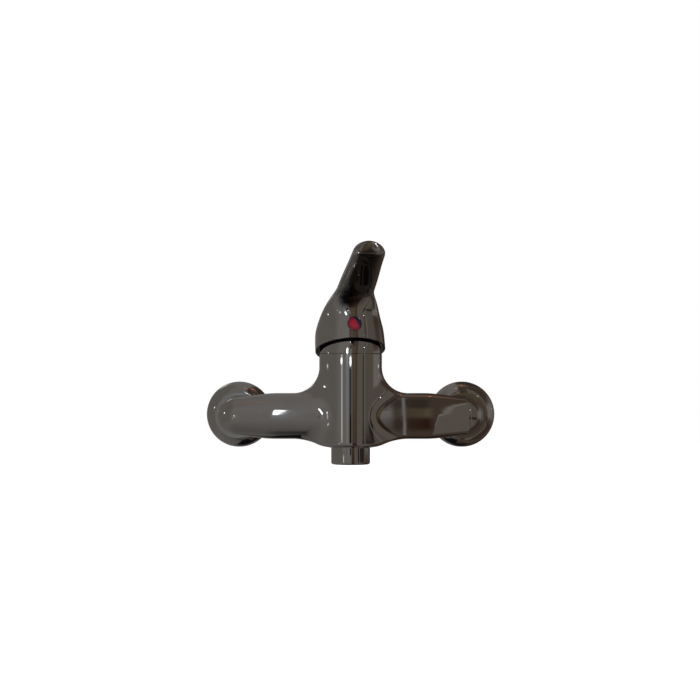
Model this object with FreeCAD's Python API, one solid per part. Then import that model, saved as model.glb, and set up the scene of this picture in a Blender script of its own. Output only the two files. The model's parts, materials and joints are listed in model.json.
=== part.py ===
# Wall-mounted single-lever shower mixer.
#
# Axes: X to the right, -Y towards the user, +Y into the wall, Z up. The origin is on the wall's
# face, midway between the two wall pipes. Inside this file every height is counted from the arm
# line, which lies PIPE_DROP above the wall pipes, and finished pieces are lifted by that much.
# All sizes are in millimetres and degrees.

import FreeCAD, Part
import math
import os
from FreeCAD import Vector

# Layout
INLET_SPACING = 150.0
AXIS_DEPTH = 50.0
PIPE_DROP = 7.5

# Body casting
COLUMN_R = 20.5
COLUMN_BOTTOM = -20.6
CHIN_FLAT_R = 11.0
CHIN_END_R = 34.0
CHIN_BELOW_ARM = 0.3
ARM_R = 15.1
ARM_TAPER = 7.1
ARM_BEND_R = 80.0
ARM_END_R = 12.3
ARM_TIP = 86.3
ARM_BLEND_R = 17.0
BOSS_R = 11.2
BOSS_BACK = 18.8
WATERWAY_R = 4.5

# Cartridge and its seat
SEAT_BELOW_PIVOT = 34.0
CARTRIDGE_R = 17.45
NECK_R = 12.8
CHAMBER_R = 15.3
BASE_THICKNESS = 6.0
FIXED_DISC_THICKNESS = 5.0
MOVING_DISC_THICKNESS = 4.5
MOVING_DISC_R = 9.8
CARRIER_THICKNESS = 6.5
PORT_CIRCLE_R = 7.3
PORT_R = 3.2
RING_SECTION_R = 0.7
RING_MEAN_R = 4.1
ROOF_BELOW_PIVOT = 8.5
SHOULDER_BELOW_PIVOT = 6.0
NECK_ABOVE_PIVOT = 2.5
ROTOR_R = 10.8
ROTOR_FLANGE_THICKNESS = 2.9
ROTOR_ABOVE_PIVOT = 3.4
NUT_THREAD_R = 18.7
NUT_FLATS = 30.0
NUT_ABOVE_PIVOT = 5.0
ROTOR_SLOT_FRONT = 6.0
ROTOR_SLOT_BACK = 7.8
ROTOR_SEAL_ABOVE_ROOF = 5.25
DISC_RECESS_R = 6.86

# Pivot, stem and its travel
PIVOT_HEIGHT = 40.0
PIN_R = 1.5
STEM_HALF = 4.0
STEM_SHANK_R = 2.6
STEM_ABOVE_PIVOT = 26.0
BALL_R = 3.2
BALL_DROP = 13.5
CARRIER_OFFSET = 2.9
LEVER_TRAVEL = 25.0
LEVER_LIFT_AT_REST = 21.0
LEVER_TURN_AT_REST = 8.5

# Dome ring
DOME_WALL = 1.2
DOME_TOP = 9.6
DOME_FOOT = 0.9

# Lever, heights from the pivot and reach forward of the column axis, stick level
SKIRT_R = 23.1
SKIRT_RIM = 3.5
SKIRT_GAP = 1.4
CAP_FRONT = 24.5
CAP_BACK = 25.0
CAP_HALF_WIDTH = 22.5
CAP_FULLNESS = 2.8
STICK_UNDERSIDE = 29.1
STICK_THICKNESS = 10.4
STICK_REACH = 98.6
STICK_HALF_WIDTH = 10.4
STICK_ROOT_HALF_WIDTH = 12.2
STICK_KEEL = 0.24
STICK_SQUARENESS = 3.2
BROW_R = 12.2
TIP_CORNER_R = 3.5
TIP_DISH_R = 30.0
TIP_DISH_DEPTH = 1.0
SECTION_POINTS = 32
CAP_STATIONS = (0.0, 1 / 3, 2 / 3)
BROW_STATIONS = range(0, 91, 10)
STICK_STATIONS = (0.2, 0.4, 0.6, 0.8, 1.0)
TIP_STATIONS = (30, 60, 85)
BROW_NARROWING = 1.1
TIP_KEEL_DROP = 0.15
TIP_CROWN_DROP = 0.35
HUB_R = 8.5
HUB_BOTTOM = 9.0
SCREW_HEIGHT = 12.7
SCREW_R = 2.5
SCREW_LENGTH = 5.0
BADGE_R = 4.7
BADGE_PROUD = 0.35
BADGE_SHANK = 5.0

# Hose outlet and check valve
OUTLET_R = 12.75
OUTLET_BOTTOM = -31.5
OUTLET_EDGE_R = 1.6
OUTLET_SHANK_R = 11.0
OUTLET_SHANK_TOP = -10.2
OUTLET_THREAD_R = 9.315
OUTLET_THREAD_LENGTH = 9.0
OUTLET_WASHER_THICKNESS = 1.2
VALVE_R = 8.5
VALVE_BORE_R = 8.6
VALVE_LENGTH = 11.3
VALVE_WALL = 1.2
VALVE_SEAT_R = 4.6
VALVE_SEAT_THICKNESS = 2.4
VALVE_GUIDE_R = 1.5
VALVE_GUIDE_THICKNESS = 1.6
VALVE_RING_SECTION_R = 0.6
POPPET_R = 5.8
POPPET_THICKNESS = 1.6
NOSE_TIP_R = 1.0
NOSE_HEIGHT = 2.2
SPIDER_SLOTS = 6
SPIDER_SLOT_R = 1.4
SPRING_WIRE_R = 0.3
SPRING_MEAN_R = 2.9
SPRING_TURNS = 4

# Wall unions
NIPPLE_R = 8.33
NIPPLE_BORE_R = 6.0
NIPPLE_DEPTH = 12.0
NIPPLE_FLANGE_R = 12.4
NIPPLE_FLANGE_THICKNESS = 2.7
UNION_FLATS = 30.0
UNION_CORNER_R = 16.6
UNION_LENGTH = 17.0
UNION_LIP = 1.7
UNION_LIP_BORE_R = 8.6
UNION_THREAD_R = 13.22
WASHER_OUTER_R = 12.6
WASHER_INNER_R = 8.0
WASHER_THICKNESS = 2.0
STRAINER_THICKNESS = 0.8
STRAINER_HOLE_R = 1.5
STRAINER_RINGS = 1
STRAINER_PITCH = 4.6
PIPE_THREAD_R = 10.48
PIPE_THREAD_LENGTH = 20.0
PIPE_BORE_R = 7.0
UNION_BORE_R = 8.0
CONNECTOR_R = 9.3
CONNECTOR_RUN = 7.4
THREAD_PAST_COVER = 0.2
ESCUTCHEON_R = 22.0
NUT_COVER_GAP = 2.3
ESCUTCHEON_HUB_R = 16.4
ESCUTCHEON_WALL = 1.0
ESCUTCHEON_RIM = 1.6

# Fits
SCREWED_GAP = 0.03
BORE_GAP = 0.05
FACE_GAP = 0.3
SWING_GAP = 0.3
BALL_GAP = 0.15
PAST = 1.0

# Heights and depths that follow from the sizes above
COLUMN_TOP = PIVOT_HEIGHT + DOME_FOOT
SEAT_HEIGHT = PIVOT_HEIGHT - SEAT_BELOW_PIVOT
CHAMBER_ROOF = PIVOT_HEIGHT - ROOF_BELOW_PIVOT
SHOULDER_HEIGHT = PIVOT_HEIGHT - SHOULDER_BELOW_PIVOT
NECK_TOP = PIVOT_HEIGHT + NECK_ABOVE_PIVOT
NUT_TOP = PIVOT_HEIGHT + NUT_ABOVE_PIVOT
BASE_TOP = SEAT_HEIGHT + BASE_THICKNESS
FIXED_DISC_TOP = BASE_TOP + FIXED_DISC_THICKNESS
MOVING_DISC_TOP = FIXED_DISC_TOP + MOVING_DISC_THICKNESS
CARRIER_TOP = MOVING_DISC_TOP + CARRIER_THICKNESS
ROTOR_BOTTOM = CHAMBER_ROOF - FACE_GAP - ROTOR_FLANGE_THICKNESS
DOME_INNER_R = COLUMN_R - DOME_WALL
OUTLET_CHAMBER_TOP = OUTLET_SHANK_TOP + OUTLET_WASHER_THICKNESS
VALVE_BOTTOM = OUTLET_BOTTOM + OUTLET_THREAD_LENGTH
VALVE_TOP = VALVE_BOTTOM + VALVE_LENGTH
VALVE_SEAT_FACE = VALVE_TOP - VALVE_SEAT_THICKNESS
BOSS_FACE_Y = -AXIS_DEPTH + BOSS_BACK
FLANGE_Y = BOSS_FACE_Y + UNION_LIP + 2 * FACE_GAP
WASHER_Y = FLANGE_Y + NIPPLE_FLANGE_THICKNESS
UNION_FACE_Y = WASHER_Y + WASHER_THICKNESS
UNION_NUT_Y = BOSS_FACE_Y + FACE_GAP
ESCUTCHEON_DEPTH = -UNION_NUT_Y - UNION_LENGTH - NUT_COVER_GAP
UNION_END_Y = -ESCUTCHEON_DEPTH + ESCUTCHEON_WALL + THREAD_PAST_COVER
ELBOW_Y = UNION_END_Y + CONNECTOR_RUN
LIFT = math.radians(LEVER_LIFT_AT_REST)
CARRIER_FORWARD = BALL_DROP * math.sin(LIFT) - CARRIER_OFFSET

UP = Vector(0, 0, 1)
DOWN = Vector(0, 0, -1)
RIGHT = Vector(1, 0, 0)
INTO_WALL = Vector(0, 1, 0)
FORWARD = Vector(0, -1, 0)
AXIS = Vector(0, -AXIS_DEPTH, 0)
PIVOT = AXIS + UP * PIVOT_HEIGHT


def rod(radius, bottom, top, base=AXIS):
    """Upright round bar between two heights."""
    return Part.makeCylinder(radius, top - bottom, base + UP * bottom, UP)


def wall_rod(radius, front_y, back_y, x, z=0.0):
    """Round bar square to the wall, between two depths."""
    return Part.makeCylinder(radius, back_y - front_y, Vector(x, front_y, z), INTO_WALL)


def tube(outer, inner, bottom, top, base=AXIS):
    """Upright ring between two heights."""
    return rod(outer, bottom, top, base).cut(rod(inner, bottom, top, base))


def aimed(shape, base, direction):
    """Swings a shape made upright at the origin onto a direction, then carries it to its base."""
    if direction != UP:
        shape.rotate(Vector(0, 0, 0), UP.cross(direction), math.degrees(UP.getAngle(direction)))
    shape.translate(base)
    return shape


def turned(points, base, direction=UP):
    """Solid turned from (radius, distance along the direction) corners."""
    outline = Part.makePolygon([Vector(r, 0, h) for r, h in points + points[:1]])
    return aimed(Part.Face(outline).revolve(Vector(0, 0, 0), UP, 360), base, direction)


def square_ring(mean_r, half_section, bottom):
    """Rubber ring of square section."""
    return tube(mean_r + half_section, mean_r - half_section, bottom, bottom + 2 * half_section)


def hexagon(flats, height, base, direction=UP):
    """Hexagon bar with two flats square to the X axis."""
    corner = flats / math.sqrt(3)
    corners = [
        Vector(corner * math.sin(math.radians(60 * k)), corner * math.cos(math.radians(60 * k)), 0)
        for k in range(7)
    ]
    return aimed(Part.Face(Part.makePolygon(corners)).extrude(UP * height), base, direction)


def at_ports(shape):
    """Copies of a shape at the outlet port in front and the two inlet ports behind."""
    copies = []
    for angle in (0, 120, 240):
        copy = shape.copy()
        copy.translate(FORWARD * PORT_CIRCLE_R)
        copy.rotate(AXIS, UP, angle)
        copies.append(copy)
    return copies


def in_rest_turn(shape):
    """Turns a piece about the column to where the lever stands at rest."""
    shape.rotate(AXIS, UP, LEVER_TURN_AT_REST)
    return shape


def in_rest_pose(shape):
    """Tips a piece of the level lever up about the pin, then turns it."""
    shape.rotate(PIVOT, -RIGHT, LEVER_LIFT_AT_REST)
    return in_rest_turn(shape)


# Mixer body


def arm():
    """Right arm: a round bar along X that tapers beyond the blend and has a ball end."""
    taper = math.radians(ARM_TAPER)
    end_x = ARM_TIP - ARM_END_R
    shoulder = Vector(end_x + ARM_END_R * math.sin(taper), ARM_END_R * math.cos(taper), 0)
    halfway = (math.pi / 2 - taper) / 2
    on_end = Vector(end_x + ARM_END_R * math.cos(halfway), ARM_END_R * math.sin(halfway), 0)
    tip = Vector(ARM_TIP, 0, 0)
    corner_x = shoulder.x - (ARM_R - shoulder.y) / math.tan(taper)
    run = ARM_BEND_R * math.tan(taper / 2)
    bend_start = Vector(corner_x - run, ARM_R, 0)
    sagitta = ARM_BEND_R * (1 - math.cos(taper / 2))
    on_bend = bend_start + Vector(ARM_BEND_R * math.sin(taper / 2), -sagitta, 0)
    bend_end = Vector(corner_x + run * math.cos(taper), ARM_R - run * math.sin(taper), 0)
    outline = [
        Part.makeLine(Vector(0, 0, 0), Vector(0, ARM_R, 0)),
        Part.makeLine(Vector(0, ARM_R, 0), bend_start),
        Part.Arc(bend_start, on_bend, bend_end).toShape(),
        Part.makeLine(bend_end, shoulder),
        Part.Arc(shoulder, on_end, tip).toShape(),
        Part.makeLine(tip, Vector(0, 0, 0)),
    ]
    bar = Part.Face(Part.Wire(outline)).revolve(Vector(0, 0, 0), RIGHT, 360)
    bar.translate(AXIS)
    return bar


def blended_arms():
    """Column run on past the chin, fused with both arms and blended into them all round."""
    below = COLUMN_BOTTOM - ARM_BLEND_R - COLUMN_R / 2
    column = rod(COLUMN_R, below, COLUMN_TOP)
    column.rotate(AXIS, UP, 90)
    right = arm()
    left = right.mirror(Vector(0, 0, 0), RIGHT)
    body = column.fuse([right, left]).Solids[0]
    junctions = [
        edge
        for edge in body.Edges
        if not edge.Degenerated
        and abs(edge.BoundBox.ZLength - 2 * ARM_R) < 1
        and edge.BoundBox.YLength > ARM_R
    ]
    return body.makeFillet(ARM_BLEND_R, junctions)


def chin():
    """Envelope of the casting, whose floor rises in a flat S from the chin to the arms."""
    rise = -ARM_R - CHIN_BELOW_ARM - COLUMN_BOTTOM
    half_run = (CHIN_END_R - CHIN_FLAT_R) / 2
    bend_r = (half_run ** 2 + (rise / 2) ** 2) / rise
    turn = math.asin(half_run / bend_r)
    floor = Vector(CHIN_FLAT_R, 0, COLUMN_BOTTOM)
    middle = floor + Vector(half_run, 0, rise / 2)
    end = floor + Vector(2 * half_run, 0, rise)
    half_sine = bend_r * math.sin(turn / 2)
    half_drop = bend_r * (1 - math.cos(turn / 2))
    top = Vector(INLET_SPACING, 0, COLUMN_TOP)
    edges = [
        Part.makeLine(Vector(0, 0, COLUMN_BOTTOM), floor),
        Part.Arc(floor, floor + Vector(half_sine, 0, half_drop), middle).toShape(),
        Part.Arc(middle, end - Vector(half_sine, 0, half_drop), end).toShape(),
        Part.makeLine(end, Vector(top.x, 0, end.z)),
        Part.makeLine(Vector(top.x, 0, end.z), top),
        Part.makeLine(top, Vector(0, 0, COLUMN_TOP)),
        Part.makeLine(Vector(0, 0, COLUMN_TOP), Vector(0, 0, COLUMN_BOTTOM)),
    ]
    envelope = Part.Face(Part.Wire(edges)).revolve(Vector(0, 0, 0), UP, 360)
    envelope.translate(AXIS)
    envelope.rotate(AXIS, UP, 90)
    return envelope


def mixer_body():
    """Chromed casting with the cartridge seat, waterways, inlet bosses and outlet chamber."""
    body = blended_arms().common(chin()).Solids[0]
    bosses = [
        wall_rod(BOSS_R, -AXIS_DEPTH, BOSS_FACE_Y, side * INLET_SPACING / 2) for side in (-1, 1)
    ]
    body = body.fuse(bosses).Solids[0]
    cuts = [
        rod(CARTRIDGE_R + BORE_GAP, SEAT_HEIGHT, COLUMN_TOP + PAST),
        rod(NUT_THREAD_R + SCREWED_GAP, SHOULDER_HEIGHT, COLUMN_TOP + PAST),
        rod(OUTLET_SHANK_R + SCREWED_GAP, COLUMN_BOTTOM - PAST, OUTLET_CHAMBER_TOP),
    ]
    outlet_port, right_port, left_port = at_ports(rod(PORT_R, 0, SEAT_HEIGHT + PAST))
    cuts += [right_port, left_port]
    cuts.append(rod(PORT_R, OUTLET_CHAMBER_TOP - PAST, SEAT_HEIGHT + PAST, AXIS + FORWARD * PORT_CIRCLE_R))
    for side in (-1, 1):
        x = side * INLET_SPACING / 2
        cuts.append(wall_rod(NIPPLE_R + SCREWED_GAP, BOSS_FACE_Y - NIPPLE_DEPTH, BOSS_FACE_Y + PAST, x))
        cuts.append(wall_rod(NIPPLE_BORE_R, -AXIS_DEPTH, BOSS_FACE_Y, x))
        start = AXIS + RIGHT * side * PORT_R
        length = INLET_SPACING / 2 - PORT_R
        cuts.append(Part.makeCylinder(WATERWAY_R, length, start, RIGHT * side))
    return body.cut(cuts).Solids[0]


# Hose outlet and check valve


def hose_outlet():
    """Collar with a screwed shank above and the hose thread bored from below."""
    edge = OUTLET_EDGE_R
    collar = rod(OUTLET_R, OUTLET_BOTTOM, COLUMN_BOTTOM)
    rim = [e for e in collar.Edges if abs(e.BoundBox.ZMax - OUTLET_BOTTOM) < 0.01]
    collar = collar.makeFillet(edge, rim)
    shank = rod(OUTLET_SHANK_R, COLUMN_BOTTOM - PAST, OUTLET_SHANK_TOP)
    bores = [
        rod(OUTLET_THREAD_R, OUTLET_BOTTOM - PAST, VALVE_BOTTOM),
        rod(VALVE_BORE_R, VALVE_BOTTOM, OUTLET_SHANK_TOP + PAST),
    ]
    return collar.fuse(shank).removeSplitter().cut(bores)


def outlet_washer():
    return tube(
        OUTLET_SHANK_R - FACE_GAP, VALVE_BORE_R, OUTLET_SHANK_TOP, OUTLET_CHAMBER_TOP
    )


def check_valve_housing():
    """Round shell with the seat above and a guide spider below."""
    shell = rod(VALVE_R, VALVE_BOTTOM, VALVE_TOP)
    chamber = rod(VALVE_R - VALVE_WALL, VALVE_BOTTOM + VALVE_GUIDE_THICKNESS, VALVE_SEAT_FACE)
    seat = rod(VALVE_SEAT_R, VALVE_SEAT_FACE - PAST, VALVE_TOP + PAST)
    guide = rod(VALVE_GUIDE_R + BORE_GAP, VALVE_BOTTOM - PAST, VALVE_TOP)
    slot_r = (VALVE_R - VALVE_WALL + SPRING_MEAN_R) / 2 + SPRING_WIRE_R
    slots = []
    for k in range(SPIDER_SLOTS):
        slot = rod(SPIDER_SLOT_R, VALVE_BOTTOM - PAST, VALVE_BOTTOM + VALVE_GUIDE_THICKNESS + PAST)
        slot.translate(RIGHT * slot_r)
        slot.rotate(AXIS, UP, 360 / SPIDER_SLOTS * k)
        slots.append(slot)
    groove = check_valve_seal()
    return shell.cut([chamber, seat, guide, groove] + slots)


def check_valve_seal():
    half = VALVE_RING_SECTION_R
    middle = VALVE_TOP - VALVE_SEAT_THICKNESS / 2
    return square_ring(VALVE_BORE_R - half, half, middle - half)


def check_valve_poppet():
    """Plunger disc under the seat with a guide stem that runs in the spider."""
    ring = RING_SECTION_R
    top = VALVE_SEAT_FACE - ring
    disc = rod(POPPET_R, top - POPPET_THICKNESS, top)
    nose = turned(
        [(0, 0), (VALVE_SEAT_R - FACE_GAP, 0), (NOSE_TIP_R, NOSE_HEIGHT), (0, NOSE_HEIGHT)],
        AXIS + UP * top,
    )
    stem = rod(VALVE_GUIDE_R, VALVE_BOTTOM + BORE_GAP, top)
    return disc.fuse([nose, stem]).removeSplitter()


def poppet_seal():
    top = VALVE_SEAT_FACE
    return tube(POPPET_R, VALVE_SEAT_R - FACE_GAP, top - RING_SECTION_R, top)


def check_valve_spring():
    """Open coil between the spider and the plunger disc."""
    bottom = VALVE_BOTTOM + VALVE_GUIDE_THICKNESS + SPRING_WIRE_R
    top = VALVE_SEAT_FACE - RING_SECTION_R - POPPET_THICKNESS - SPRING_WIRE_R
    pitch = (top - bottom) / SPRING_TURNS
    path = Part.makeHelix(pitch, top - bottom, SPRING_MEAN_R)
    start = Vector(SPRING_MEAN_R, 0, 0)
    corners = [
        start + Vector(math.cos(math.radians(a)), 0, math.sin(math.radians(a))) * SPRING_WIRE_R
        for a in range(0, 361, 90)
    ]
    section = Part.makePolygon(corners)
    coil = Part.Wire(path.Edges).makePipeShell([section], True, True)
    coil.translate(AXIS + UP * bottom)
    return coil


# Cartridge


def port_ring_recess(bottom):
    outer = RING_MEAN_R + RING_SECTION_R
    return rod(outer, bottom, bottom + 2 * RING_SECTION_R)


def port_rings(bottom):
    """Three square-section rubber rings, one round each port."""
    return Part.makeCompound(at_ports(square_ring(RING_MEAN_R, RING_SECTION_R, bottom)))


def cartridge_base():
    base = rod(CARTRIDGE_R, SEAT_HEIGHT, BASE_TOP)
    cuts = at_ports(rod(PORT_R, SEAT_HEIGHT - PAST, BASE_TOP + PAST))
    cuts += at_ports(port_ring_recess(SEAT_HEIGHT))
    cuts += at_ports(port_ring_recess(BASE_TOP - 2 * RING_SECTION_R))
    return base.cut(cuts)


def fixed_disc():
    disc = rod(CHAMBER_R - BORE_GAP, BASE_TOP, FIXED_DISC_TOP)
    return disc.cut(at_ports(rod(PORT_R, BASE_TOP - PAST, FIXED_DISC_TOP + PAST)))


def carrier_base():
    return AXIS + FORWARD * CARRIER_FORWARD


def moving_disc():
    """Ceramic disc whose blind recess joins the ports below it."""
    disc = rod(MOVING_DISC_R, FIXED_DISC_TOP, MOVING_DISC_TOP, carrier_base())
    depth = MOVING_DISC_THICKNESS / 2
    recess = rod(DISC_RECESS_R, FIXED_DISC_TOP - PAST, FIXED_DISC_TOP + depth, carrier_base())
    return in_rest_turn(disc.cut(recess))


def disc_carrier():
    """Plate with a deep pocket for the ball of the stem."""
    plate = rod(MOVING_DISC_R, MOVING_DISC_TOP, CARRIER_TOP, carrier_base())
    pocket_base = carrier_base() + FORWARD * CARRIER_OFFSET
    pocket_floor = PIVOT_HEIGHT - BALL_DROP - BALL_R - FACE_GAP
    pocket = rod(BALL_R + BALL_GAP, pocket_floor, CARRIER_TOP + PAST, pocket_base)
    return in_rest_turn(plate.cut(pocket))


def rotor_seal():
    mean_r = ROTOR_R + BORE_GAP - RING_SECTION_R
    return square_ring(mean_r, RING_SECTION_R, CHAMBER_ROOF + ROTOR_SEAL_ABOVE_ROOF)


def cartridge_rotor():
    """Turning collar with a flange inside the housing and a slot that the stem swings in."""
    top = PIVOT_HEIGHT + ROTOR_ABOVE_PIVOT
    body = rod(ROTOR_R, ROTOR_BOTTOM, top)
    flange = rod(CHAMBER_R - SWING_GAP, ROTOR_BOTTOM, ROTOR_BOTTOM + ROTOR_FLANGE_THICKNESS)
    body = body.fuse(flange).removeSplitter()
    width = 2 * (STEM_HALF + SWING_GAP)
    reach = BALL_DROP * math.sin(math.radians(LEVER_TRAVEL)) + STEM_SHANK_R + 2 * SWING_GAP
    middle = (ROTOR_BOTTOM + PIVOT_HEIGHT) / 2
    lower = Part.makeBox(width, reach + STEM_HALF, middle - ROTOR_BOTTOM + 2 * PAST)
    lower.translate(AXIS + Vector(-width / 2, -reach, ROTOR_BOTTOM - PAST))
    upper = Part.makeBox(width, ROTOR_SLOT_FRONT + ROTOR_SLOT_BACK, top - middle + 2 * PAST)
    upper.translate(AXIS + Vector(-width / 2, -ROTOR_SLOT_FRONT, middle - PAST))
    pin_hole = Part.makeCylinder(PIN_R, 2 * ROTOR_R, PIVOT - RIGHT * ROTOR_R, RIGHT)
    groove = rotor_seal()
    return in_rest_turn(body.cut([lower, upper, pin_hole, groove]))


def pivot_pin():
    half = ROTOR_R - FACE_GAP
    return in_rest_turn(Part.makeCylinder(PIN_R, 2 * half, PIVOT - RIGHT * half, RIGHT))


def cartridge_housing():
    shell = rod(CARTRIDGE_R, BASE_TOP, SHOULDER_HEIGHT)
    neck = rod(NECK_R, SHOULDER_HEIGHT - PAST, NECK_TOP)
    cuts = [
        rod(CHAMBER_R, BASE_TOP - PAST, CHAMBER_ROOF),
        rod(ROTOR_R + BORE_GAP, CHAMBER_ROOF - PAST, NECK_TOP + PAST),
    ]
    return shell.fuse(neck).removeSplitter().cut(cuts)


def cartridge_nut():
    """Clamping nut: threaded skirt in the column, hexagon above it."""
    thread = rod(NUT_THREAD_R, SHOULDER_HEIGHT, COLUMN_TOP)
    head = hexagon(NUT_FLATS, NUT_TOP - COLUMN_TOP + PAST, AXIS + UP * (COLUMN_TOP - PAST))
    nut = thread.fuse(head).removeSplitter()
    return nut.cut(rod(NECK_R + FACE_GAP, SHOULDER_HEIGHT - PAST, NUT_TOP + PAST))


def dome_ring():
    """Spherical cover ring round the pivot, resting on the column."""
    top = PIVOT_HEIGHT + DOME_TOP
    ball = Part.makeSphere(COLUMN_R, PIVOT).cut(Part.makeSphere(DOME_INNER_R, PIVOT))
    return ball.common(rod(COLUMN_R + PAST, COLUMN_TOP, top))


def cartridge_stem():
    """Square stem above the pin, round shank and ball below it."""
    square = Part.makeBox(2 * STEM_HALF, 2 * STEM_HALF, STEM_ABOVE_PIVOT)
    square.translate(PIVOT - Vector(STEM_HALF, STEM_HALF, 0))
    eye = Part.makeCylinder(STEM_HALF, 2 * STEM_HALF, PIVOT - RIGHT * STEM_HALF, RIGHT)
    shank = rod(STEM_SHANK_R, PIVOT_HEIGHT - BALL_DROP, PIVOT_HEIGHT)
    ball = aimed(Part.makeSphere(BALL_R), PIVOT - UP * BALL_DROP, RIGHT)
    stem = square.fuse([eye, shank, ball]).removeSplitter()
    pin_hole = Part.makeCylinder(PIN_R + BORE_GAP, 4 * STEM_HALF, PIVOT - RIGHT * 2 * STEM_HALF, RIGHT)
    return in_rest_pose(stem.cut(pin_hole))


# Lever


def lever_section(middle, outward, inner, outer, half_width, inner_power, outer_power):
    """Ring of points across the lever.

    middle is its widest line as (forward, height) from the pivot, outward the unit direction
    to the back or top, inner and outer the half depths, and the powers how square each half is.
    """
    points = []
    for k in range(SECTION_POINTS):
        turn = 2 * math.pi * (k + 0.5) / SECTION_POINTS
        power = outer_power if math.sin(turn) >= 0 else inner_power
        depth = outer if math.sin(turn) >= 0 else inner
        side = math.copysign(abs(math.cos(turn)) ** (2 / power), math.cos(turn)) * half_width
        along = math.copysign(abs(math.sin(turn)) ** (2 / power), math.sin(turn)) * depth
        forward = middle[0] + outward[0] * along
        height = middle[1] + outward[1] * along
        points.append(PIVOT + Vector(side, -forward, height))
    return points


def cap_sections():
    """Level sections of the cap from its round rim up to the brow."""
    brow = STICK_UNDERSIDE - BROW_R
    sections = []
    for share in CAP_STATIONS:
        height = SKIRT_RIM + (brow - SKIRT_RIM) * share
        front = cap_front_at(height)
        back = SKIRT_R + (CAP_BACK - SKIRT_R) * share
        middle = ((front - back) / 2, height)
        half_depth = (front + back) / 2
        half_width = SKIRT_R + (CAP_HALF_WIDTH - SKIRT_R) * share ** 2
        sections.append(lever_section(middle, (-1, 0), half_depth, half_depth, half_width, 2, 2))
    return sections


def brow_sections():
    """Sections that fan round the brow, where the cap bends over into the stick."""
    centre = (CAP_FRONT + BROW_R, STICK_UNDERSIDE - BROW_R)
    back_reach = centre[0] + CAP_BACK
    top_reach = STICK_UNDERSIDE + STICK_THICKNESS - centre[1]
    sections = []
    for angle in BROW_STATIONS:
        turn = math.radians(angle)
        outward = (-math.cos(turn), math.sin(turn))
        corner = abs(outward[0] / back_reach) ** CAP_FULLNESS
        corner += abs(outward[1] / top_reach) ** CAP_FULLNESS
        depth = corner ** (-1 / CAP_FULLNESS) - BROW_R
        bend = outward[1]
        inner = depth * (0.5 + (STICK_KEEL - 0.5) * bend)
        reach = BROW_R + inner
        middle = (centre[0] + outward[0] * reach, centre[1] + outward[1] * reach)
        narrowing = (1 - bend) ** BROW_NARROWING
        half_width = STICK_ROOT_HALF_WIDTH + (CAP_HALF_WIDTH - STICK_ROOT_HALF_WIDTH) * narrowing
        square = 2 + (STICK_SQUARENESS - 2) * bend ** 2
        sections.append(
            lever_section(middle, outward, inner, depth - inner, half_width, square, 2)
        )
    return sections


def stick_sections():
    """Upright sections along the stick and round its rounded tip."""
    start = CAP_FRONT + BROW_R
    tip = STICK_REACH - TIP_CORNER_R
    keel = STICK_THICKNESS * STICK_KEEL
    crown = STICK_THICKNESS - keel
    height = STICK_UNDERSIDE + keel
    sections = []
    for share in STICK_STATIONS:
        forward = start + (tip - start) * share
        easing = (1 + math.cos(math.pi * share)) / 2
        half_width = STICK_HALF_WIDTH + (STICK_ROOT_HALF_WIDTH - STICK_HALF_WIDTH) * easing
        sections.append(
            lever_section((forward, height), (0, 1), keel, crown, half_width, STICK_SQUARENESS, 2)
        )
    for angle in TIP_STATIONS:
        turn = math.radians(angle)
        forward = tip + TIP_CORNER_R * math.sin(turn)
        inset = TIP_CORNER_R * (1 - math.cos(turn))
        sections.append(
            lever_section(
                (forward, height),
                (0, 1),
                keel - TIP_KEEL_DROP * inset,
                crown - TIP_CROWN_DROP * inset,
                STICK_HALF_WIDTH - inset,
                STICK_SQUARENESS,
                2,
            )
        )
    return sections


def cap_front_at(height):
    """Reach of the cap's front face at a height above the pivot."""
    share = (height - SKIRT_RIM) / (STICK_UNDERSIDE - BROW_R - SKIRT_RIM)
    return SKIRT_R + (CAP_FRONT - SKIRT_R) * min(share, 1.0)


def skinned(rings):
    """Solid inside one smooth skin drawn over rings of points, with a flat face at each end."""
    around = len(rings[0])
    skin = Part.BSplineSurface()
    skin.buildFromPolesMultsKnots(
        rings,
        [4] + [1] * (len(rings) - 4) + [4],
        [1] * (around + 1),
        list(range(len(rings) - 2)),
        list(range(around + 1)),
        False,
        True,
        3,
        3,
    )
    side = skin.toShape()
    ends = [
        Part.Face(Part.Wire(edge))
        for edge in side.Edges
        if edge.isClosed() and edge.BoundBox.DiagonalLength > 1 and edge.Curve.isPeriodic()
    ]
    shell = Part.makeShell([side] + ends)
    shell.sewShape()
    return Part.Solid(shell)


def lever_handle():
    """Cap and stick as one skin, hollowed round the dome, with the hub that grips the stem."""
    skin = skinned(cap_sections() + brow_sections() + stick_sections())
    hollow = Part.makeSphere(COLUMN_R + SKIRT_GAP, PIVOT)
    hub = rod(HUB_R, HUB_BOTTOM, COLUMN_R + SKIRT_GAP + PAST, PIVOT)
    handle = skin.cut(hollow).fuse(hub).removeSplitter()
    half = STEM_HALF + BORE_GAP
    socket = Part.makeBox(2 * half, 2 * half, STEM_ABOVE_PIVOT + FACE_GAP)
    socket.translate(PIVOT - Vector(half, half, 0))
    screw_axis = PIVOT + UP * SCREW_HEIGHT
    screw_hole = Part.makeCylinder(SCREW_R + SCREWED_GAP, HUB_R + PAST, screw_axis, FORWARD)
    badge_hole = Part.makeCylinder(
        BADGE_R + BORE_GAP, SKIRT_R, screw_axis + FORWARD * (HUB_R + PAST), FORWARD
    )
    dish_centre = STICK_REACH + TIP_DISH_R - TIP_DISH_DEPTH
    dish_height = STICK_UNDERSIDE + STICK_THICKNESS / 2
    dish = Part.makeSphere(TIP_DISH_R, PIVOT + Vector(0, -dish_centre, dish_height))
    return in_rest_pose(handle.cut([socket, screw_hole, badge_hole, dish]))


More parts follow.
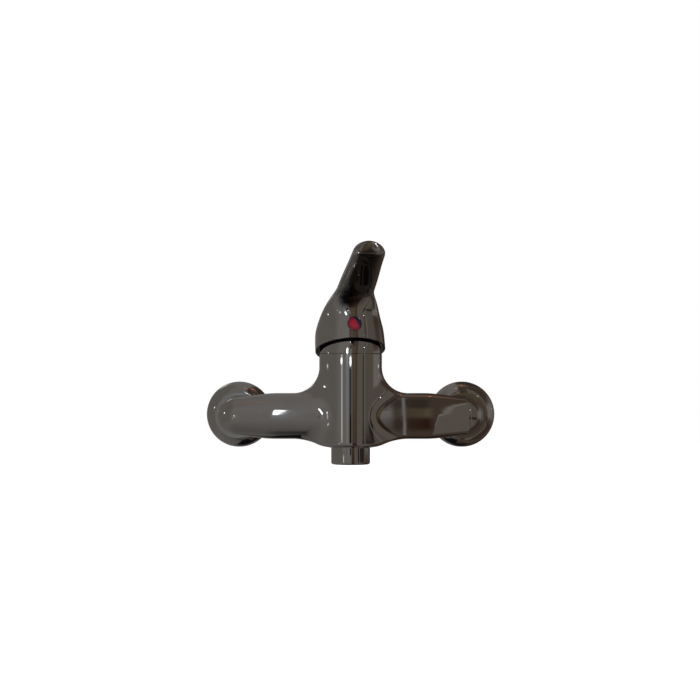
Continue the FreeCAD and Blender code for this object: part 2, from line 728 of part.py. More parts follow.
def lever_set_screw():
    """Grub screw against the stem, with a hexagon socket in its outer end."""
    start = PIVOT + UP * SCREW_HEIGHT + FORWARD * (STEM_HALF + BORE_GAP)
    screw = Part.makeCylinder(SCREW_R, SCREW_LENGTH, start, FORWARD)
    socket = hexagon(SCREW_R, SCREW_LENGTH, start + FORWARD * SCREW_LENGTH / 2, FORWARD)
    return in_rest_pose(screw.cut(socket))


def indicator_plug():
    """Round badge with a faintly domed face, filling the hole over the set screw."""
    face = cap_front_at(SCREW_HEIGHT) + BADGE_PROUD
    start = PIVOT + UP * SCREW_HEIGHT + FORWARD * (face - BADGE_SHANK)
    plug = Part.makeCylinder(BADGE_R, BADGE_SHANK, start, FORWARD)
    bulge_r = BADGE_R ** 2 / (2 * BADGE_PROUD)
    bulge = Part.makeSphere(bulge_r, start + FORWARD * (BADGE_SHANK - bulge_r))
    return in_rest_pose(plug.common(bulge))


# Wall unions, right-hand side; the left ones are their mirror images


def inlet_x():
    return INLET_SPACING / 2


def inlet_nipple():
    shank = wall_rod(NIPPLE_R, BOSS_FACE_Y - NIPPLE_DEPTH + FACE_GAP, WASHER_Y, inlet_x())
    flange = wall_rod(NIPPLE_FLANGE_R, FLANGE_Y, WASHER_Y, inlet_x())
    bore = wall_rod(NIPPLE_BORE_R, -AXIS_DEPTH, 0, inlet_x())
    return shank.fuse(flange).removeSplitter().cut(bore)


def union_nut():
    """Captive nut: lip behind the nipple's flange, thread over the union, corners rounded off."""
    front = UNION_NUT_Y
    base = Vector(inlet_x(), front, 0)
    bar = hexagon(UNION_FLATS, UNION_LENGTH, base, INTO_WALL)
    chamfer = UNION_CORNER_R - UNION_FLATS / 2
    envelope = turned(
        [
            (0, 0),
            (UNION_FLATS / 2, 0),
            (UNION_CORNER_R, chamfer),
            (UNION_CORNER_R, UNION_LENGTH),
            (0, UNION_LENGTH),
        ],
        base,
        INTO_WALL,
    )
    bores = [
        wall_rod(UNION_LIP_BORE_R, front - PAST, front + UNION_LIP + PAST, inlet_x()),
        wall_rod(UNION_THREAD_R + SCREWED_GAP, front + UNION_LIP, front + UNION_LENGTH + PAST, inlet_x()),
    ]
    return bar.common(envelope).cut(bores)


def union_washer():
    ring = wall_rod(WASHER_OUTER_R, WASHER_Y, UNION_FACE_Y, inlet_x())
    return ring.cut(wall_rod(WASHER_INNER_R, WASHER_Y, UNION_FACE_Y, inlet_x()))


def strainer():
    """Thin disc with rings of holes, clipped into the washer."""
    back = WASHER_Y + STRAINER_THICKNESS
    disc = wall_rod(WASHER_INNER_R, WASHER_Y, back, inlet_x())
    holes = [wall_rod(STRAINER_HOLE_R, WASHER_Y - PAST, back + PAST, inlet_x())]
    for ring in range(1, STRAINER_RINGS + 1):
        for k in range(6 * ring):
            turn = 2 * math.pi * k / (6 * ring)
            radius = ring * STRAINER_PITCH
            x = inlet_x() + radius * math.cos(turn)
            holes.append(
                wall_rod(STRAINER_HOLE_R, WASHER_Y - PAST, back + PAST, x, radius * math.sin(turn))
            )
    return disc.cut(holes)


def offset_bar(front_r, back_r, front_y, back_y):
    """Bar that runs straight, leans down by the pipe drop, then runs straight into the wall."""
    x = inlet_x()
    neck = Vector(x, UNION_END_Y, 0)
    elbow = Vector(x, ELBOW_Y, -PIPE_DROP)
    lean = elbow - neck
    front = wall_rod(front_r, front_y, neck.y, x)
    leaning = Part.makeCylinder(back_r, lean.Length, neck, lean)
    back = wall_rod(back_r, elbow.y, back_y, x, -PIPE_DROP)
    joints = [Part.makeSphere(back_r, point) for point in (neck, elbow)]
    return front.fuse(joints + [leaning, back]).Solids[0]


def s_union():
    """Eccentric connector: union thread in front, thinner pipe thread set lower in the wall."""
    outer = offset_bar(UNION_THREAD_R, CONNECTOR_R, UNION_FACE_Y, PIPE_THREAD_LENGTH)
    inner = offset_bar(UNION_BORE_R, PIPE_BORE_R, UNION_FACE_Y - PAST, PIPE_THREAD_LENGTH + PAST)
    thread = wall_rod(PIPE_THREAD_R, 0, PIPE_THREAD_LENGTH, inlet_x(), -PIPE_DROP)
    return outer.fuse(thread).cut(inner).Solids[0]


def spun_cup(radius, hub_r, rim, depth):
    """Round cup against the wall: upright rim, then a ball face up to a flat hub."""
    x = inlet_x()
    sink = (radius ** 2 - hub_r ** 2 + rim ** 2 - depth ** 2) / (2 * (depth - rim))
    ball_r = math.sqrt(radius ** 2 + (rim + sink) ** 2)
    ball = Part.makeSphere(ball_r, Vector(x, sink, 0))
    return ball.common(wall_rod(radius, -depth, 0, x))


def escutcheon():
    """Domed wall cover, spun thin, with a hole that fits the union thread."""
    wall = ESCUTCHEON_WALL
    outside = spun_cup(ESCUTCHEON_R, ESCUTCHEON_HUB_R, ESCUTCHEON_RIM, ESCUTCHEON_DEPTH)
    inside = spun_cup(
        ESCUTCHEON_R - wall, ESCUTCHEON_HUB_R - wall, ESCUTCHEON_RIM, ESCUTCHEON_DEPTH - wall
    )
    hole = wall_rod(UNION_THREAD_R + BORE_GAP, -ESCUTCHEON_DEPTH - PAST, PAST, inlet_x())
    return outside.cut([inside, hole])


SINGLE_PIECES = {
    "mixer_body": mixer_body,
    "hose_outlet": hose_outlet,
    "outlet_washer": outlet_washer,
    "check_valve_housing": check_valve_housing,
    "check_valve_seal": check_valve_seal,
    "check_valve_poppet": check_valve_poppet,
    "poppet_seal": poppet_seal,
    "check_valve_spring": check_valve_spring,
    "cartridge_base": cartridge_base,
    "fixed_disc": fixed_disc,
    "moving_disc": moving_disc,
    "disc_carrier": disc_carrier,
    "cartridge_rotor": cartridge_rotor,
    "pivot_pin": pivot_pin,
    "rotor_seal": rotor_seal,
    "cartridge_housing": cartridge_housing,
    "cartridge_nut": cartridge_nut,
    "dome_ring": dome_ring,
    "cartridge_stem": cartridge_stem,
    "lever_handle": lever_handle,
    "lever_set_screw": lever_set_screw,
    "indicator_plug": indicator_plug,
}

PAIRED_PIECES = {
    "inlet_nipple": inlet_nipple,
    "union_nut": union_nut,
    "union_washer": union_washer,
    "strainer": strainer,
    "s_union": s_union,
    "escutcheon": escutcheon,
}


def write(name, shape):
    shape.translate(UP * PIPE_DROP)
    shape.exportStep(os.path.join("parts", name + ".step"))


os.makedirs("parts", exist_ok=True)
for name, make in SINGLE_PIECES.items():
    write(name, make())
write("base_seals", port_rings(SEAT_HEIGHT))
write("disc_seals", port_rings(BASE_TOP - 2 * RING_SECTION_R))
for name, make in PAIRED_PIECES.items():
    right = make()
    write(name + "_left", right.mirror(Vector(0, 0, 0), RIGHT))
    write(name + "_right", right)
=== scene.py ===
import json
import math

import bmesh
import bpy
import numpy as np
from mathutils import Matrix, Vector


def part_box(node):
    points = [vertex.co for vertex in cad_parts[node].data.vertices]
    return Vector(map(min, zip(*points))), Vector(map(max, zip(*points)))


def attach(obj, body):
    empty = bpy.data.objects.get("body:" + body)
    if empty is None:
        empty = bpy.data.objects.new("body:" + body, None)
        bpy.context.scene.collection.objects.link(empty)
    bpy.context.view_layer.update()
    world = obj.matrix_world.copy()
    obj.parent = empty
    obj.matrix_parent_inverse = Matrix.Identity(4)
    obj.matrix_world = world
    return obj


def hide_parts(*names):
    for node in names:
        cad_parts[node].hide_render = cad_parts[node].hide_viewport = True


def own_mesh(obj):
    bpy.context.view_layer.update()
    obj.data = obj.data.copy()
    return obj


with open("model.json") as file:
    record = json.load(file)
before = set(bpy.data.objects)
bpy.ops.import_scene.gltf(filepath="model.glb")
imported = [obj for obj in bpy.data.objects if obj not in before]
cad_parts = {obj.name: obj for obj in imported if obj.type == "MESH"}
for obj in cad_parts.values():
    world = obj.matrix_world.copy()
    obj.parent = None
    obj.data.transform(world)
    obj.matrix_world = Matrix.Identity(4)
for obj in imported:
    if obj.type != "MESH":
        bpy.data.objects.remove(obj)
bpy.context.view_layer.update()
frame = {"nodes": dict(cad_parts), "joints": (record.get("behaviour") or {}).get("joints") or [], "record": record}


# Wall connectors
# Two bent brass tubes that reach the pipes in the wall. They are cast, turned, and cut with a
# pipe thread at the wall end and a wider union thread in front, then sealed in with tape.

connector_low, connector_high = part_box("s_union_right")
nut_low, nut_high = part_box("union_nut_right")
arm_height = (nut_low.z + nut_high.z) / 2
inlet_x = (nut_low.x + nut_high.x) / 2
sides = {"left": -1, "right": 1}
thread_depth, thread_pitch = 0.00116, 0.001814


def in_scene(name, data):
    """Object at the origin that holds some data, put into the scene."""
    thing = bpy.data.objects.new(name, data)
    bpy.context.scene.collection.objects.link(thing)
    return thing


def smooth(mesh, sharp_above):
    """Smooth shading, but for edges sharper than so many degrees."""
    mesh.shade_smooth()
    mesh.set_sharp_from_angle(angle=math.radians(sharp_above))


def new_piece(name, points, faces, sharp_above=35.0):
    """Object at the origin made of points and faces, smooth but for its sharp edges."""
    mesh = bpy.data.meshes.new(name)
    mesh.from_pydata(np.asarray(points).tolist(), [], faces)
    shell = bmesh.new()
    shell.from_mesh(mesh)
    bmesh.ops.recalc_face_normals(shell, faces=shell.faces)
    shell.to_mesh(mesh)
    shell.free()
    smooth(mesh, sharp_above)
    return in_scene(name, mesh)


def ring_faces(rings, around, looped=True):
    """Quads between rings of points. The last ring joins the first, or both ends get a cap."""
    faces = []
    for ring in range(rings if looped else rings - 1):
        here = ring * around
        after = (ring + 1) % rings * around
        for k in range(around):
            step = (k + 1) % around
            faces.append((here + k, here + step, after + step, after + k))
    if not looped:
        faces += [tuple(range(around)), tuple(range((rings - 1) * around, rings * around))]
    return faces


def connector_points(side, around=96):
    """Bent tube as rings square to the Y axis: outside from front to back, then the bore."""
    front, back = connector_low.y, connector_high.y
    neck, elbow = -0.0104, -0.003
    outline = [
        (front, 0.0118), (front + 0.0006, 0.0122), (neck - 0.0008, 0.0122), (neck - 0.0003, 0.0131),
        (neck, 0.0131), (neck + 0.0004, 0.0096), ((neck + elbow) / 2, 0.0093), (elbow, 0.0093),
        (back - 0.0008, 0.0093), (back, 0.0089), (back, 0.0072), (elbow, 0.0070), (neck, 0.0078),
        (front + 0.0004, 0.0080), (front, 0.0083),
    ]
    turn = np.arange(around) / around * 2 * math.pi
    rings = []
    for y, radius in outline:
        sink = min(max((y - neck) / (elbow - neck), 0.0), 1.0)
        x = side * inlet_x + radius * np.cos(turn)
        z = arm_height * (1 - sink) + radius * np.sin(turn)
        rings.append(np.stack((x, np.full(around, y), z), 1))
    return np.concatenate(rings), ring_faces(len(rings), around)


def feed(node, inputs):
    """Fills a node's inputs, given by name or number, with plain values or links."""
    for name, value in inputs.items():
        if isinstance(value, bpy.types.NodeSocket):
            node.id_data.links.new(value, node.inputs[name])
        else:
            node.inputs[name].default_value = value
    return node


def new_node(tree, kind, inputs=(), **settings):
    """Node of a kind with its settings made and its inputs fed."""
    node = tree.nodes.new(kind)
    for name, value in settings.items():
        setattr(node, name, value)
    return feed(node, dict(inputs))


def maths(tree, operation, *values):
    """Math node fed by numbers or sockets; gives its output."""
    values = dict(enumerate(values))
    return new_node(tree, "ShaderNodeMath", values, operation=operation).outputs[0]


def thread_tree():
    """Threaded sleeve along Z: a capped tube whose radius follows the helix."""
    tree = bpy.data.node_groups.new("screw thread", "GeometryNodeTree")
    tree.interface.new_socket("Geometry", in_out="OUTPUT", socket_type="NodeSocketGeometry")
    for name in ("Crest radius", "Depth", "Pitch", "Length"):
        tree.interface.new_socket(name, in_out="INPUT", socket_type="NodeSocketFloat")
    tree.interface.new_socket("Material", in_out="INPUT", socket_type="NodeSocketMaterial")
    given = tree.nodes.new("NodeGroupInput").outputs
    crest, pitch = given["Crest radius"], given["Pitch"]
    end = new_node(tree, "ShaderNodeCombineXYZ", {"Z": given["Length"]})
    line = new_node(tree, "GeometryNodeCurvePrimitiveLine", {"End": end.outputs[0]})
    split = new_node(tree, "GeometryNodeResampleCurve", {
        "Curve": line.outputs[0], "Length": maths(tree, "DIVIDE", pitch, 8.0),
    }, mode="LENGTH")
    circle = new_node(tree, "GeometryNodeCurvePrimitiveCircle", {"Resolution": 72, "Radius": crest})
    sleeve = new_node(tree, "GeometryNodeCurveToMesh", {
        "Curve": split.outputs[0], "Profile Curve": circle.outputs[0], "Fill Caps": True,
    })
    position = new_node(tree, "GeometryNodeInputPosition").outputs[0]
    x, y, z = new_node(tree, "ShaderNodeSeparateXYZ", {0: position}).outputs
    turns = maths(tree, "DIVIDE", maths(tree, "ARCTAN2", y, x), 2 * math.pi)
    phase = maths(tree, "SUBTRACT", maths(tree, "DIVIDE", z, pitch), turns)
    valley = maths(tree, "MULTIPLY", maths(tree, "PINGPONG", phase, 0.5), 2.0)
    share = maths(tree, "DIVIDE", maths(tree, "MULTIPLY", valley, given["Depth"]), crest)
    keep = maths(tree, "SUBTRACT", 1.0, share)
    x, y = (maths(tree, "MULTIPLY", reach, keep) for reach in (x, y))
    moved = new_node(tree, "ShaderNodeCombineXYZ", {"X": x, "Y": y, "Z": z})
    cut = new_node(tree, "GeometryNodeSetPosition", {
        "Geometry": sleeve.outputs[0], "Position": moved.outputs[0],
    })
    real = new_node(tree, "GeometryNodeRealizeInstances", {0: cut.outputs[0]})
    finish = new_node(tree, "GeometryNodeSetMaterial", {
        "Geometry": real.outputs[0], "Material": given["Material"],
    })
    new_node(tree, "NodeGroupOutput", {0: finish.outputs[0]})
    return tree


def applied(piece):
    """Bakes a piece's modifiers into its mesh."""
    shown = piece.evaluated_get(bpy.context.evaluated_depsgraph_get())
    mesh = bpy.data.meshes.new_from_object(shown)
    piece.modifiers.clear()
    piece.data = mesh


def grown(name, tree, values, matrix):
    """Plain piece from a tree with its named inputs filled in, then carried to its place."""
    piece = in_scene(name, bpy.data.meshes.new(name))
    modifier = piece.modifiers.new("grow", "NODES")
    modifier.node_group = tree
    for item in tree.interface.items_tree:
        if item.in_out == "INPUT":
            modifier[item.identifier] = values[item.name]
    applied(piece)
    piece.data.transform(matrix)
    smooth(piece.data, 50)
    return piece


def finish_with(piece, material):
    """Gives a piece one material and no other."""
    piece.data.materials.clear()
    piece.data.materials.append(material)


def new_finish(name, metallic):
    """New material with its node tree and its shader."""
    material = bpy.data.materials.new(name)
    material.use_nodes = True
    shader = material.node_tree.nodes["Principled BSDF"]
    shader.inputs["Metallic"].default_value = metallic
    return material, material.node_tree, shader


def surface_noise(tree, scale, detail):
    """Noise over the piece's own coordinates."""
    place = new_node(tree, "ShaderNodeTexCoord").outputs["Object"]
    return new_node(tree, "ShaderNodeTexNoise", {
        "Vector": place, "Scale": scale, "Detail": detail,
    }).outputs["Fac"]


def ranged(tree, value, low, high, start=0.3, end=0.7):
    """Value stretched from start..end to low..high."""
    return new_node(tree, "ShaderNodeMapRange", {
        "Value": value, "From Min": start, "From Max": end, "To Min": low, "To Max": high,
    }).outputs[0]


def mixed_colour(tree, share, *colours):
    """Colour between two, each of which is three numbers or a socket."""
    first, second = (
        colour if isinstance(colour, bpy.types.NodeSocket) else (*colour, 1) for colour in colours
    )
    return new_node(tree, "ShaderNodeMix", {
        "Factor": share, "A": first, "B": second,
    }, data_type="RGBA").outputs["Result"]


def bumped(tree, height, depth):
    """Surface direction with a relief so deep."""
    return new_node(tree, "ShaderNodeBump", {"Height": height, "Distance": depth}).outputs[0]


def varied_finish(name, metallic, colours, roughness, patches, relief):
    """Finish whose colour and gloss vary with one noise, and its relief with another.

    A noise is given as its scale and detail, and the relief's with its depth after them.
    """
    material, tree, shader = new_finish(name, metallic)
    noise = surface_noise(tree, *patches)
    grain, detail, depth = relief
    feed(shader, {
        "Base Color": mixed_colour(tree, noise, *colours),
        "Roughness": ranged(tree, noise, *roughness),
        "Normal": bumped(tree, surface_noise(tree, grain, detail), depth),
    })
    return material


# Machined: fine turning marks, dull patches and a little tarnish.
brass = varied_finish(
    "raw_brass", 1.0, ((0.62, 0.41, 0.16), (0.80, 0.58, 0.26)), (0.22, 0.42), (220, 4),
    (5000, 2, 6e-6),
)
thread = thread_tree()
swing = Matrix.Rotation(math.radians(90), 4, "X")
for side_name, side in sides.items():
    connector = new_piece("wall_connector_" + side_name, *connector_points(side))
    finish_with(connector, brass)
    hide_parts("s_union_" + side_name)
    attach(connector, "mixer")
    for where, crest, length, y, z in (
        ("wall", 0.01048, 0.0194, connector_high.y - 0.0004, 0.0),
        ("union", 0.01322, 0.0130, connector_low.y + 0.0132, arm_height),
    ):
        turns = grown(where + "_thread_" + side_name, thread, {
            "Crest radius": crest, "Depth": thread_depth, "Pitch": thread_pitch, "Length": length,
            "Material": brass,
        }, Matrix.Translation((side * inlet_x, y, z)) @ swing)
        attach(turns, "mixer")


# Wall covers
# Two round covers that hide the holes in the wall. They are spun from thin brass sheet, chromed,
# and pushed on over the union thread until their rims meet the wall.


def arc(centre_h, radius, start_r, end_r, steps):
    """Points of an outline on a circle centred on the axis, from one distance off it to another."""
    points = []
    for step in range(steps + 1):
        r = start_r + (end_r - start_r) * step / steps
        points.append((r, centre_h + math.sqrt(radius ** 2 - r ** 2)))
    return points


def placed(points, base, out_of_wall=False):
    """Points moved to a base, first swung so that their Z axis leaves the wall if wanted."""
    if out_of_wall:
        points = points @ np.array(((1, 0, 0), (0, 0, 1), (0, -1, 0)))
    return points + np.array(base)


def turned(outline, base, around=160, out_of_wall=False, extra=None):
    """Outline turned about an axis through a base; extra(radius, along, turn) adds a thread."""
    turn = np.arange(around) / around
    rings = []
    for r, h in outline:
        radius = r + (extra(r, h, turn) if extra else 0)
        x = radius * np.cos(2 * math.pi * turn)
        y = radius * np.sin(2 * math.pi * turn)
        rings.append(np.stack((x, y, np.full(around, h)), 1))
    return placed(np.concatenate(rings), base, out_of_wall), ring_faces(len(rings), around)


def polished_chrome(name, roughness, ripple):
    """Bright chrome plating: faint smears in the gloss and the slight ripple of a polished form."""
    return varied_finish(
        name, 1.0, ((0.60, 0.588, 0.57), (0.66, 0.65, 0.632)), (roughness * 0.6, roughness * 1.5),
        (70, 3), (160, 1, ripple),
    )


def spun_cover(side):
    """Cup of even thickness: upright rim, ball face, flat collar round the thread."""
    radius, hub, rim, depth, wall, hole = 0.022, 0.0164, 0.0016, 0.0116, 0.001, 0.0134
    edge, hole_edge, collar = 0.0003, 0.0002, hub - 0.0013
    sink = (radius ** 2 - hub ** 2 + rim ** 2 - depth ** 2) / (2 * (depth - rim))
    ball = math.hypot(radius, rim + sink)
    outline = [(radius - edge, 0.0), (radius, edge)]
    outline += arc(-sink, ball, radius, hub + 0.0010, 28)
    face_r, face_h = outline[-1]
    for share in (0.2, 0.4, 0.6, 0.8, 1.0):
        left = 1 - share
        height = face_h * left ** 2 + depth * (1 - left ** 2)
        outline.append((face_r * left + collar * share, height))
    outline += [
        (hole + hole_edge, depth), (hole, depth - hole_edge), (hole, depth - wall),
        (hub - wall, depth - wall),
    ]
    outline += arc(-sink, ball - wall, hub - 0.0002, radius - wall, 16)
    outline.append((radius - wall, 0.0))
    return turned(outline, (side * inlet_x, 0, arm_height), out_of_wall=True)


cover_chrome = polished_chrome("cover_chrome", 0.05, 8e-6)
for side_name, side in sides.items():
    cover = new_piece("wall_cover_" + side_name, *spun_cover(side))
    finish_with(cover, cover_chrome)
    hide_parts("escutcheon_" + side_name)
    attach(cover, "mixer")


# Union nuts
# Two captive hexagon nuts that pull the mixer onto the wall connectors. They are forged brass,
# turned round at the corners, then polished and chromed.


def rounded(corners, steps=6):
    """Outline of (radius, along) points from corners of (radius, along, edge radius)."""
    outline = []
    for k, (r, h, edge) in enumerate(corners):
        corner = np.array((r, h))
        if edge == 0:
            outline.append(corner)
            continue
        back = np.array(corners[k - 1][:2]) - corner
        ahead = np.array(corners[(k + 1) % len(corners)][:2]) - corner
        back /= np.linalg.norm(back)
        ahead /= np.linalg.norm(ahead)
        half = math.acos(max(-1.0, min(1.0, float(back @ ahead)))) / 2
        run = edge / math.tan(half)
        centre = corner + (back + ahead) / np.linalg.norm(back + ahead) * edge / math.sin(half)
        first = corner + back * run - centre
        last = corner + ahead * run - centre
        for step in range(steps + 1):
            share = step / steps
            spoke = first * (1 - share) + last * share
            outline.append(centre + spoke * edge / np.linalg.norm(spoke))
    return np.array(outline)


def combined(piece, tool, operation):
    """Adds, cuts or keeps the common part with a tool, which is then thrown away."""
    modifier = piece.modifiers.new("cut", "BOOLEAN")
    modifier.operation = operation
    modifier.object = tool
    modifier.solver = "EXACT"
    applied(piece)
    bpy.data.objects.remove(tool)


def hexagon_nut(name, side):
    """Round bar with a bore, cut to a hexagon whose corners stay rounded."""
    across, corner, length = 0.030, 0.0166, nut_high.y - nut_low.y
    lip_bore, thread_bore, lip, edge = 0.0086, 0.0133, 0.0018, 0.0003
    chamfer = (corner - across / 2) * 0.7
    bar = rounded([
        (lip_bore, 0.0, edge), (across / 2, 0.0, 0.0), (corner, chamfer, 0.0008),
        (corner, length - chamfer, 0.0008), (across / 2, length, 0.0), (thread_bore, length, edge),
        (thread_bore, lip, 0.0), (lip_bore, lip, 0.0),
    ])
    base = (side * inlet_x, nut_high.y, arm_height)
    flipped = [(r, length - h) for r, h in bar]
    nut = new_piece(name, *turned(flipped, base, 180, out_of_wall=True))
    reach, spare, soft_above = across / math.sqrt(3), 0.001, 24
    corners = [math.radians(60 * k) for k in range(6)]
    prism = np.array([
        (reach * math.sin(turn), reach * math.cos(turn), h)
        for h in (-spare, length + spare) for turn in corners
    ])
    tool = new_piece("prism", placed(prism, base, out_of_wall=True), ring_faces(2, 6, looped=False))
    combined(nut, tool, "INTERSECT")
    soften = nut.modifiers.new("soften", "BEVEL")
    soften.width = 0.00025
    soften.segments = 2
    soften.angle_limit = math.radians(soft_above)
    applied(nut)
    smooth(nut.data, soft_above)
    return nut


nut_chrome = polished_chrome("nut_chrome", 0.07, 1e-5)
for side_name, side in sides.items():
    nut = hexagon_nut("hexagon_nut_" + side_name, side)
    finish_with(nut, nut_chrome)
    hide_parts("union_nut_" + side_name)
    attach(nut, "mixer")


# Body casting
# One hollow brass casting: an upright column, two arms that grow out of it in wide blends, and
# an elbow at each arm's end. It is ground, polished all over and chromed.

body_low, body_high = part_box("mixer_body")
column_axis = np.array((0.0, -0.05))
column_radius, arm_radius, arm_blend = 0.0205, 0.0151, 0.017
column_top, chin_height, arm_tip, boss_back = body_high.z, body_low.z, body_high.x, body_high.y


def smooth_larger(a, b, softness):
    """Larger of two distances, blended where they are nearly the same."""
    share = np.maximum(softness - np.abs(a - b), 0) / softness
    return np.maximum(a, b) + share ** 2 * softness / 4


def column_distance(points):
    """Upright round column that runs on upwards and downwards."""
    return np.hypot(points[:, 0], points[:, 1]) - column_radius


def arm_distance(points):
    """Both arms: round bars that taper outwards and end in a ball."""
    ball, taper = 0.0123, math.radians(7.1)
    along = np.abs(points[:, 0])
    off_axis = np.hypot(points[:, 1], points[:, 2])
    ball_x = arm_tip - ball
    start, end_radius = ball_x + ball * math.sin(taper), ball * math.cos(taper)
    cone = (off_axis - end_radius) * math.cos(taper) + (along - start) * math.sin(taper)
    body = smooth_larger(off_axis - arm_radius, cone, 0.0006)
    past = (along - ball_x) * math.cos(taper) > off_axis * math.sin(taper)
    return np.where(past, np.hypot(along - ball_x, off_axis) - ball, body)


def boss_distance(points):
    """Elbows: round bars from the arms' ends back to the union nuts."""
    side = np.hypot(np.abs(points[:, 0]) - inlet_x, points[:, 2]) - 0.0112
    behind = points[:, 1] - (boss_back - column_axis[1] + 0.004)
    return np.maximum(side, np.maximum(behind, -points[:, 1]))


def slope(distance, points, reach=0.00002):
    """Outward direction of a distance at points."""
    changes = [distance(points + nudge) - distance(points - nudge) for nudge in np.eye(3) * reach]
    return np.stack(changes, -1) / (2 * reach)


def unit(vectors):
    """The same directions, each of length one."""
    return vectors / np.linalg.norm(vectors, axis=1, keepdims=True)


def rolled(a, b, away, toward_a, toward_b, radius):
    """Fillet left by a ball whose centre lies that far away, between its two contacts."""
    reach = np.linalg.norm(away, axis=1)
    lean = (toward_a * toward_b).sum(1)
    side_a, side_b = -(away * toward_a).sum(1), -(away * toward_b).sum(1)
    between = (side_a > lean * side_b) & (side_b > lean * side_a)
    return np.where(between, radius - reach, np.minimum(a, b))


def blend_centre(turn):
    """Centre of the ball that rolls round the joint of the column and the right arm."""
    reach = arm_radius + arm_blend
    y, z = reach * np.cos(turn), reach * np.sin(turn)
    return np.stack((np.sqrt((column_radius + arm_blend) ** 2 - y ** 2), y, z), -1)


def blended_arms(points):
    """Column and arms joined by the rolling ball's fillet."""
    a, b = column_distance(points), arm_distance(points)
    joined = np.minimum(a, b)
    near = np.flatnonzero((a < arm_blend) & (b < arm_blend) & (joined > -0.006))
    spots = points[near]
    spots[:, 0] = np.abs(spots[:, 0])
    turns = np.linspace(0, 2 * math.pi, 90, endpoint=False)
    path = blend_centre(turns)
    square = (spots ** 2).sum(1)[:, None] - 2 * spots @ path.T + (path ** 2).sum(1)
    turn = turns[square.argmin(1)]
    step = math.radians(4)
    for _ in range(4):
        before, here, after = (
            ((spots - blend_centre(turn + k * step)) ** 2).sum(1) for k in (-1, 0, 1)
        )
        bend = np.maximum(before - 2 * here + after, 1e-12)
        turn = turn + step * np.clip((before - after) / (2 * bend), -1, 1)
        step /= 5
    centre = blend_centre(turn)
    off_column, off_arm = unit(centre * (1, 1, 0)), unit(centre * (0, 1, 1))
    joined[near] = rolled(a[near], b[near], spots - centre, off_column, off_arm, arm_blend)
    return joined


def with_bosses(points, radius=0.0025):
    """Blended arms with the elbows added, and a small fillet round each."""
    a, b = blended_arms(points), boss_distance(points)
    joined = np.minimum(a, b)
    near = np.flatnonzero((a < radius) & (b < radius) & (np.abs(joined) < radius))
    spots = points[near]
    toward_a, toward_b = slope(arm_distance, spots), slope(boss_distance, spots)
    lean = (toward_a * toward_b).sum(1)
    u, v = radius - a[near], radius - b[near]
    square = np.maximum(u * u - 2 * lean * u * v + v * v, 0)
    reach = np.sqrt(square / np.maximum(1 - lean ** 2, 1e-3))
    between = (u > lean * v) & (v > lean * u) & (lean < 0.9)
    joined[near] = np.where(between, radius - reach, joined[near])
    return joined


def floor_distance(points):
    """How far below the casting's floor, which rises in a flat S from the chin to the arms."""
    flat, end, rise = 0.011, 0.034, -arm_radius - 0.0003 - (chin_height - arm_height)
    half_run = (end - flat) / 2
    bend = (half_run ** 2 + (rise / 2) ** 2) / rise
    off_axis = np.hypot(points[:, 0], points[:, 1])
    first = np.clip(off_axis - flat, 0, half_run)
    second = np.clip(end - off_axis, 0, half_run)
    height = np.where(
        off_axis > flat + half_run, rise - bend + np.sqrt(bend ** 2 - second ** 2),
        bend - np.sqrt(bend ** 2 - first ** 2),
    )
    lean = np.minimum(first, second) / bend
    return (chin_height - arm_height + height - points[:, 2]) * np.sqrt(1 - lean ** 2)


def casting_distance(points):
    """Signed distance to the outside of the whole casting."""
    flat = np.asarray(points).reshape(-1, 3) - (column_axis[0], column_axis[1], arm_height)
    joined = smooth_larger(with_bosses(flat), floor_distance(flat), 0.0016)
    return joined.reshape(np.shape(points)[:-1])


def drawn_skin(distance, low, high, step):
    """Quads on the surface where a distance is nought, one point to each cell that it crosses."""
    counts = np.ceil((np.array(high) - np.array(low)) / step).astype(int) + 1
    lines = [low[axis] + step * np.arange(counts[axis]) for axis in range(3)]
    grid = np.stack(np.meshgrid(*lines, indexing="ij"), -1)
    value = distance(grid)
    total = np.zeros((*(counts + 1), 3))
    hits = np.zeros(counts + 1)
    crossings = []
    for axis in range(3):
        ahead = np.roll(value, -1, axis)
        crossed = (value < 0) != (ahead < 0)
        np.moveaxis(crossed, axis, 0)[-1] = False
        at = np.argwhere(crossed)
        here, there = value[crossed], ahead[crossed]
        spot = grid[crossed]
        spot[:, axis] += step * here / (here - there)
        others = [k for k in range(3) if k != axis]
        cells = []
        for first, second in ((0, 0), (1, 0), (1, 1), (0, 1)):
            cell = at + 1
            cell[:, others] -= (first, second)
            np.add.at(total, tuple(cell.T), spot)
            np.add.at(hits, tuple(cell.T), 1)
            cells.append(cell)
        crossings.append(np.stack(cells, 1))
    used = hits > 0
    number = np.full(hits.shape, -1)
    number[used] = np.arange(used.sum())
    points = total[used] / hits[used][:, None]
    cells = np.concatenate(crossings)
    faces = number[cells[..., 0], cells[..., 1], cells[..., 2]]
    for _ in range(3):
        toward = slope(distance, points)
        points -= distance(points)[:, None] * toward / (toward ** 2).sum(-1, keepdims=True)
    return points, faces


def open_edges(shell, place, outward):
    """Edges left open after all beyond a plane is cut away."""
    bmesh.ops.bisect_plane(
        shell, geom=[*shell.verts, *shell.edges, *shell.faces], plane_co=place, plane_no=outward,
        dist=1e-7, clear_outer=True,
    )
    return [edge for edge in shell.edges if edge.is_boundary]


